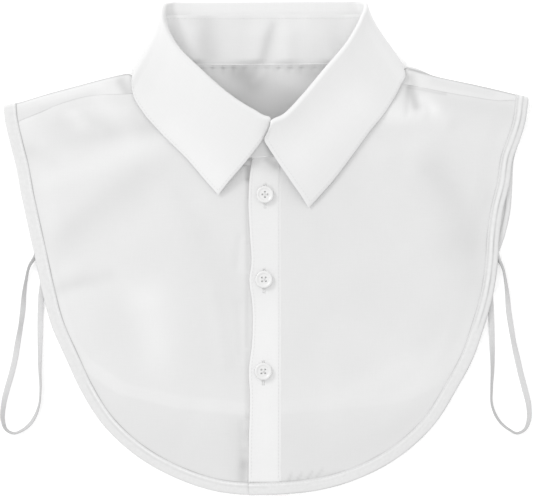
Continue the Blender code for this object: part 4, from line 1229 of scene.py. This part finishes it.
class COLLAR_OT_fronts(Operator):
    """The two fronts and the band that laps them"""

    bl_idname = "collar.fronts"
    bl_label = "Fronts and band"

    def execute(self, context):
        right_neck = station("seam", np.linspace(RIGHT_SEAM_STATION, FIRST_FRONT, NECK_ROWS))
        left_neck = station("seam", np.linspace(LEFT_SEAM_STATION, LAST_FRONT, NECK_ROWS))
        left_neck = left_neck[left_neck[:, 0] > LEFT_NECK_END[0][0] + 1.0]
        left_neck = np.concatenate([left_neck[:, :2], LEFT_NECK_END])
        front_panel(
            "right_front_cotton", "right_front", RIGHT_SHOULDER_SEAM, right_neck, LAP_CORNER,
            RIGHT_FRONT_EDGE, front_rest,
        )
        front_panel(
            "left_front_cotton", "left_front", LEFT_SHOULDER_SEAM, left_neck,
            (BAND_RIGHT_EDGE - 2.0, BAND_TOP), LEFT_FRONT_EDGE, lapped_rest(OVER_CLOTH),
        )
        middle = band_grid()
        half = rim_half(middle, BAND_WALL / 2 - 0.05, 0.9)
        half[:, -5:] = half[:, -6:-5]
        middle[..., 2] -= 0.38 * ramp((middle[..., 0] - BAND_RIGHT_EDGE + 1.6) / 1.6)
        # Painted shade and highlights on the band
        layers_and_shade = 0.97 + ridges(middle[..., 0], middle[..., 1], BAND_SHADING)
        band = shell(
            "band_cotton", middle, half, crisp_cotton(), plan_map=True, layers_and_shade=layers_and_shade
        )
        seat(band, "crisp_cotton", "front_band")
        rows = [
            edge_row(middle, half, (slice(8, -4), column), f"band_row_{column}")
            for column in (4, -3)
        ]
        stitching = join("band_stitches", rows)
        seat(stitching, "crisp_cotton")
        return {"FINISHED"}


# Bindings

BINDING_OFFSETS = np.array([
    0.0, 0.25, 0.7, 1.5, 2.6, 3.2, 3.7, 4.3, 5.2, 6.2, 6.8, 7.4, 7.8, 8.2, 8.45, 8.6,
])
BINDING_HALF = np.array([
    0.15, 0.5, 0.74, 0.8, 0.8, 0.8, 0.79, 0.78, 0.76, 0.74, 0.66, 0.6, 0.66, 0.6, 0.45, 0.2,
])
BINDING_STEPS = 420
BINDING_LIP = 2.0
STITCH_OFFSET = 11
# Painted dark lines and light ridges along the bindings, at their outer edge, stitching and inner
# edge
BINDING_SHADING = (
    # offset from the edge, half width, painted shade (below 0) and highlight (above 0) on the
    #     # right and on the left binding, and the y at which it starts and ends
    (0, 0.5, -0.4, -1.2, 150, -200), (3.7, 0.5, 0, -1.4, 150, -60), (5, 0.8, 0, 0.4, 150, -60),
    (6.8, 0.4, 0, -0.9, 150, -60), (6.8, 0.5, 0.3, 0.3, 150, -90),
    (5.6, 0.4, -0.9, -0.3, -80, -200), (6.9, 0.5, 0.6, 0.3, -80, -200),
    (8.4, 0.35, -1.5, -1.2, 150, -200),
)


def binding_rows(outline, fold_line, rest):
    """Binding of one front, from the hem's middle up the side and over the shoulder tip."""
    edge = curve(outline, np.linspace(1, 0, BINDING_STEPS + 1))
    across = inward(edge, GARMENT_MIDDLE)
    fold = curve(fold_line, np.linspace(0, 1, OUTLINE_SAMPLES))
    tip_x = fold[0, 0] - BINDING_OFFSETS * np.sign(fold[0, 0])
    tip_y = np.array([fold[np.argmin(np.abs(fold[:, 0] - x)), 1] for x in tip_x])
    radius = rest(tip_x, tip_y - READING_STEP) / 2
    below = edge[:, 1] < tip_y[0] - radius[0] - READING_STEP
    plan = edge[below, None] + across[below, None] * BINDING_OFFSETS[None, :, None]
    rows = lay(plan, rest, BINDING_WALL)
    low = BINDING_WALL / 2
    angle = np.radians(np.linspace(180, 0, 19))[:, None]
    turn_y = tip_y - radius * (1 - np.sin(angle))
    turn_z = low + radius * (1 - np.cos(angle))
    over = np.stack([np.broadcast_to(tip_x, turn_y.shape), turn_y, turn_z], axis=-1)
    last = np.stack([tip_x, tip_y - radius - BINDING_LIP, np.full(len(tip_x), low)], axis=1)
    return np.concatenate([rows, over, last[None]])


def binding(name, node, middle, rests_on, length):
    """Bias binding: a flattened tube on the grid, crowned near the edge, with a groove that
    puckers along its stitching."""
    reach = reach_of(middle[:, 3])

    def along(pitch):
        return ripple(reach, 0 * reach, pitch, 0.0)

    pull = 0.16 * along(5.3) + 0.10 * along(17.0)
    groove = np.exp(-((BINDING_OFFSETS - 6.6) / 1.6) ** 2)
    half = np.maximum(BINDING_HALF - pull[:, None] * groove[None] * 0.8, 0.15)
    column = STITCH_OFFSET
    # Painted shade and highlights along the binding, fading at their ends and uneven along it
    layers_and_shade = np.ones(middle.shape[:2])
    y = middle[..., 1]
    for offset, width, right, left, top, foot in BINDING_SHADING:
        change = np.where(middle[..., 0] < 0, right, left)
        change = change * ramp((top - y) / 20.0) * ramp((y - foot) / 20.0)
        change = change * (0.7 + 0.5 * along(29.0))[:, None]
        layers_and_shade += change * np.exp(-((BINDING_OFFSETS - offset) / width) ** 2)[None]
    if normals_of(middle)[..., 2].mean() < 0:
        middle, half, layers_and_shade = middle[:, ::-1], half[:, ::-1], layers_and_shade[:, ::-1]
        column = BINDING_OFFSETS.size - 1 - STITCH_OFFSET
    woven = shared(
        "woven_binding", cotton, colours().single, colours().binding, sizes().weave, 1.6, 0.12
    )
    strip = shell(name, middle, half, woven, layers_and_shade=layers_and_shade)
    seat(strip, "binding", node)
    out = normals_of(middle)[:, column]
    line = middle[:, column] + out * (half[:, column:column + 1] - 0.02)
    row = stitch_row(name + "_stitches", line[2:-6], out[2:-6])
    seat(row, "binding")


class COLLAR_OT_bindings(Operator):
    """The bias bindings of the fronts and the back, with their stitching"""

    bl_idname = "collar.bindings"
    bl_label = "Bindings"

    def execute(self, context):
        right = binding_rows(RIGHT_FRONT_EDGE, RIGHT_SHOULDER_FOLD, front_rest)
        binding("right_bias_binding", "right_binding", right, ["right_front_cotton"], 0.363)
        left = binding_rows(LEFT_FRONT_EDGE, LEFT_SHOULDER_FOLD, lapped_rest(OVER_BINDING))
        binding("left_bias_binding", "left_binding", left, ["left_front_cotton"], 0.375)

        edge = curve(BACK_EDGE, np.linspace(0, 1, OUTLINE_SAMPLES))
        tip_gap = OVER_BINDING + BINDING_LIP + SEAM_GAP
        keep = (edge[:, 1] < edge[0, 1] - tip_gap) | (edge[:, 0] > 0)
        keep &= (edge[:, 1] < edge[-1, 1] - tip_gap) | (edge[:, 0] < 0)
        edge = curve(edge[keep], np.linspace(0, 1, BINDING_STEPS + 1))
        across = inward(edge, GARMENT_MIDDLE)
        plan = edge[:, None] + across[:, None] * BINDING_OFFSETS[None, :, None]
        level = np.full(plan.shape[:2] + (1,), BINDING_WALL / 2)
        middle = np.concatenate([plan, level], axis=2)
        binding("back_bias_binding", "back_binding", middle, ["back_cotton"], 0.60)
        return {"FINISHED"}


# Collar

STAND_ROWS = 28
# Painted shade over the whole stand, and a painted highlight along its neck seam
STAND_SHADE_LEVEL = 0.80
STAND_SEAM_HIGHLIGHT = 0.9
# Painted shade and highlights on the fall's leaves
FALL_SHADING = (
    # x0, y0, x1, y1, half width, change
    (1.6, 79, -1, 73, 1.2, -0.45), (22, 66, 60, 96, 16, 0.16), (-84, 116, -70, 150, 14, -0.14),
    (-36, 48, -60, 76, 12, 0.1),
)
# Painted shade and highlights inside the stand
STAND_SHADING = (
    # x0, y0, x1, y1, half width, change
    (-41, 151, -38, 130, 7, -0.26), (-2.7, 127, 4, 149, 2.6, -0.2), (-17, 128, -14, 158, 6, -0.06),
    (10.7, 128, 11, 155, 4, 0.08), (24.8, 128, 25, 152, 6, 0.12), (-62, 152, -52, 128, 7, 0.34),
    (58, 152, 48, 128, 8, 0.24), (1, 71, 5.2, 60, 2.4, -0.75),
)
COLLAR_STEPS = 14
ROLL_ROWS = 14
LEAF_ROWS = 56


def collar_frames(at):
    """Seam, fold, rise direction and outward direction at each station."""
    seam = station("seam", at)
    fold = station("fold", at)
    rise = unit(fold - seam)
    return seam, fold, rise, unit(np.cross(rise, np.gradient(seam + fold, axis=0)))


def stand_grid():
    """Stand: straight lines from the neck seam towards the fold, with soft ridges inside
    the back that fade towards the seam with the fall."""
    at = np.linspace(0, len(COLLAR) - 1, (len(COLLAR) - 1) * COLLAR_STEPS + 1)
    seam, fold, _, out = collar_frames(at)
    share = station("stand_share", at)
    up = np.linspace(0, 1, STAND_ROWS + 1)[:, None, None]
    middle = seam[None] + (fold - seam)[None] * share[None] * up
    share = up[..., 0]
    ridge = np.zeros(middle.shape[:2])
    for low, high, before, after, height in STAND_RIDGES:
        away = at[None] - (low + (high - low) * share)
        ridge += height * np.exp(-(away / np.where(away < 0, before, after)) ** 2)
    swell = ramp(share / 0.12) * (1 - ramp((share - 0.55) / 0.45))
    return middle - out[None] * (swell * ridge)[..., None]


def fall_grid():
    """Fall: from the stand's top round the roll as half a circle, then a leaf that leaves
    along the stand and arrives at the edge, as a cubic between the two."""
    steps = (LAST_FRONT - FIRST_FRONT) * COLLAR_STEPS
    at = np.linspace(FIRST_FRONT, LAST_FRONT, steps + 1)
    seam, fold, rise, out = collar_frames(at)
    edge = station("edge", at)
    roll = station("roll", at)
    share = station("stand_share", at)
    top = seam + (fold - seam) * share
    centre = fold - rise * roll + out * roll
    inner = centre - out * roll
    near_left = ramp((at - LAST_FRONT + BOW_REACH) / BOW_REACH)
    near_right = ramp((FIRST_FRONT + BOW_REACH - at) / BOW_REACH)
    bows = np.array(LEAF_BOWS)
    rows = [top + (inner - top) * k for k in (-0.04, 0.2, 0.4, 0.6, 0.8)]
    for degrees in np.linspace(0, 180, ROLL_ROWS + 1):
        angle = math.radians(degrees)
        rows.append(centre + roll * (rise * math.sin(angle) - out * math.cos(angle)))
    start = rows[-1].copy()
    for k, row in enumerate(rows[5:]):
        bend = ramp(2 * k / ROLL_ROWS - 0.6)
        row[:, 0] += (bows[0, 1] * near_right - bows[0, 2] * near_left) * bend
    reach = np.linalg.norm(edge - start, axis=1)[:, None]
    arrive = edge - start
    for t in np.linspace(0, 1, LEAF_ROWS + 1)[1:]:
        keep = 1 - t * t * (3 - 2 * t)
        bend = t * (1 - t) ** 2 * -rise * reach + t * t * (t - 1) * arrive
        row = keep * start + (1 - keep) * edge + bend
        right, left = through(bows[:, 1:], bows[:, 0], np.array([t]))[0]
        row[:, 0] += right * near_right - left * near_left
        rows.append(row)
    middle = np.stack(rows)
    middle[..., 2] = np.maximum(middle[..., 2], CLOTH_WALL / 2)
    return middle


class COLLAR_OT_collar(Operator):
    """The stand and the fall, which rolls over it into two pointed leaves"""

    bl_idname = "collar.collar"
    bl_label = "Collar"

    def execute(self, context):
        thickness = sizes().crisp / MM
        stand = stand_grid()
        half = rim_half(stand, thickness / 2, 0.8)
        # Painted shade over the stand, its painted shade and highlights, and a painted highlight
        # on the seam row
        layers_and_shade = STAND_SHADE_LEVEL + ridges(stand[..., 0], stand[..., 1], STAND_SHADING)
        layers_and_shade[0] += STAND_SEAM_HIGHLIGHT
        piece = shell("stand_cotton", stand, half, crisp_cotton(), layers_and_shade=layers_and_shade)
        seat(piece, "crisp_cotton", "collar_stand")
        row = STAND_ROWS - 2
        inside = -normals_of(stand)[row]
        line = stand[row] + inside * (thickness / 2)
        seam_row = stitch_row("stand_seam_stitches", line[4:-4], inside[4:-4])
        seat(seam_row, "crisp_cotton")

        fall = fall_grid()
        half = rim_half(fall, thickness / 2, 0.8)
        # Painted shade and highlights on the fall
        layers_and_shade = 1 + ridges(fall[..., 0], fall[..., 1], FALL_SHADING)
        leaf = shell("fall_cotton", fall, half, crisp_cotton(), layers_and_shade=layers_and_shade)
        seat(leaf, "crisp_cotton", "collar_fall")
        down = slice(5 + ROLL_ROWS + 4, -2)
        places = ((down, 2), (-3, slice(2, -2)), (down, -3))
        edges = [edge_row(fall, half, place, f"leaf_row_{k}") for k, place in enumerate(places)]
        stitching = join("fall_stitches", edges)
        seat(stitching, "crisp_cotton")
        return {"FINISHED"}


# Buttons and buttonholes

BUTTON_SEAT = (
    # radius, height from the middle of the well to the middle underneath
    (0, 1.55), (3.3, 1.6), (3.8, 1.7), (4.2, 1.98), (4.6, 2.15), (5, 2.2), (5.4, 2.05),
    (5.65, 1.7), (5.7, 1.2), (5.6, 0.7), (5.2, 0.25), (4.6, 0), (0, 0),
)
HOLE_RADIUS = 0.55
HOLE_REACH = 1.77
HOLE_DEPTH = 1.3
WELL_RINGS = 40
WELL_HEIGHT = 1.6

# Buttonhole: how far it shows above and below the button's middle, and its close stitches
HOLE_ABOVE = 7.0
HOLE_BELOW = 9.0
HOLE_PITCH = 0.34
HOLE_THREAD = 0.17


def band_surface(x, y):
    """Top of the band at a place."""
    return front_rest(np.array([x]), np.array([y]))[0] + OVER_CLOTH + BAND_WALL


def turned_plan(x, y, turn, across, along):
    """Plan places about a point, turned by degrees."""
    c, s = math.cos(math.radians(turn)), math.sin(math.radians(turn))
    return x + across * c - along * s, y + across * s + along * c


def button_points(x, y, turn, base):
    """Button: its half section spun round, with four round pits sunk into the well."""
    table = np.array(BUTTON_SEAT)
    well = np.linspace(0.05, 3.3, WELL_RINGS)
    radius = np.concatenate([well, table[2:-1, 0], [4.0, 2.0, 0.05]])
    height = np.concatenate([np.full(WELL_RINGS, WELL_HEIGHT), table[2:-1, 1], np.zeros(3)])
    angle = np.linspace(0, 2 * np.pi, sizes().button_steps, endpoint=False)
    spread_x = radius[:, None] * np.cos(angle)
    spread_y = radius[:, None] * np.sin(angle)
    z = np.broadcast_to(height[:, None], spread_x.shape).copy()
    for place in np.radians((45, 135, 225, 315)):
        hole_x, hole_y = HOLE_REACH * math.cos(place), HOLE_REACH * math.sin(place)
        away = np.hypot(spread_x - hole_x, spread_y - hole_y)
        pit = 1 - ramp((away - HOLE_RADIUS + 0.1) / 0.2)
        z[:WELL_RINGS] -= (HOLE_DEPTH * pit)[:WELL_RINGS]
    scale = sizes().button_radius / MM / table[:, 0].max()
    plan = turned_plan(x, y, turn, scale * spread_x, scale * spread_y)
    return np.stack([*plan, base + z * scale], axis=-1)


def button_thread(name, x, y, turn, base):
    """Sewing of a button: two bars that cross over the well, each down into two holes."""
    bars = []
    t = np.linspace(-1, 1, 15)
    for corner in (0, 1):
        place = math.radians(45 + 90 * corner)
        reach = t * HOLE_REACH
        plan = turned_plan(x, y, turn, reach * math.cos(place), reach * math.sin(place))
        height = WELL_HEIGHT + 0.35 * (1 - t ** 4) + 0.12 * corner - 0.55 * t ** 12
        line = np.stack([*plan, base + height], axis=1)
        bars.append(rod(f"{name}_{corner}", line, 0.15, thread_cotton()))
    return join(name, bars)


def buttonhole(name, x, y):
    """Buttonhole: close stitches across both sides of its slit and over its two ends."""
    slit = np.linspace(y + HOLE_ABOVE, y - HOLE_BELOW, 60)
    top = front_rest(np.full(60, x), slit) + OVER_CLOTH + BAND_WALL - 0.05
    lines = [(np.full(60, x + side), slit, top) for side in (-0.62, 0.62)]
    bar = np.linspace(x - 1.1, x + 1.1, 20)
    lines += [(bar, np.full(20, slit[end]), np.full(20, top[end])) for end in (0, -1)]
    rows = []
    for line, across in zip(lines, (0.95, 0.95, 0.9, 0.9)):
        up = np.tile((0.0, 0.0, 1.0), (len(line[0]), 1))
        rows.append(stitch_row(
            f"{name}_{len(rows)}", np.stack(line, axis=1), up, HOLE_PITCH, HOLE_THREAD, across,
        ))
    return join(name, rows)


class COLLAR_OT_buttons(Operator):
    """The three front buttons, their thread and the buttonholes under them"""

    bl_idname = "collar.buttons"
    bl_label = "Buttons"

    def execute(self, context):
        gloss = shared("satin_resin", resin, colours().button)
        for number, (x, y, turn) in enumerate(BUTTONS, start=1):
            base = band_surface(x, y) + SEAM_GAP
            name = f"button_{number}"
            piece = tube(name + "_resin", button_points(x, y, turn, base), gloss)
            seat(piece, "button", name)
            seat(button_thread(name + "_thread", x, y, turn, base), "button")
            seat(buttonhole(f"buttonhole_{number}", x, y), "crisp_cotton")
        return {"FINISHED"}


# Panel and registration


class COLLAR_PT_panel(Panel):
    bl_label = "Shirt collar"
    bl_idname = "COLLAR_PT_panel"
    bl_space_type = "VIEW_3D"
    bl_region_type = "UI"
    bl_category = "Collar"

    def draw(self, context):
        column = self.layout.column(align=True)
        for operator in OPERATORS:
            column.operator(operator.bl_idname)
        for group in (context.scene.collar_sizes, context.scene.collar_colours):
            box = self.layout.box()
            for name in group.__annotations__:
                box.prop(group, name)


OPERATORS = (
    COLLAR_OT_stage,
    COLLAR_OT_loops,
    COLLAR_OT_back,
    COLLAR_OT_fronts,
    COLLAR_OT_bindings,
    COLLAR_OT_collar,
    COLLAR_OT_buttons,
)
CLASSES = (CollarSizes, CollarColours, *OPERATORS, COLLAR_PT_panel)


def register():
    for item in CLASSES:
        bpy.utils.register_class(item)
    bpy.types.Scene.collar_sizes = PointerProperty(type=CollarSizes)
    bpy.types.Scene.collar_colours = PointerProperty(type=CollarColours)


def unregister():
    del bpy.types.Scene.collar_sizes
    del bpy.types.Scene.collar_colours
    for item in reversed(CLASSES):
        bpy.utils.unregister_class(item)


def main():
    register()
    bpy.ops.collar.stage()
    bpy.ops.collar.loops()
    bpy.ops.collar.back()
    bpy.ops.collar.fronts()
    bpy.ops.collar.bindings()
    bpy.ops.collar.collar()
    bpy.ops.collar.buttons()
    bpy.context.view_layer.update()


if __name__ == "__main__":
    main()
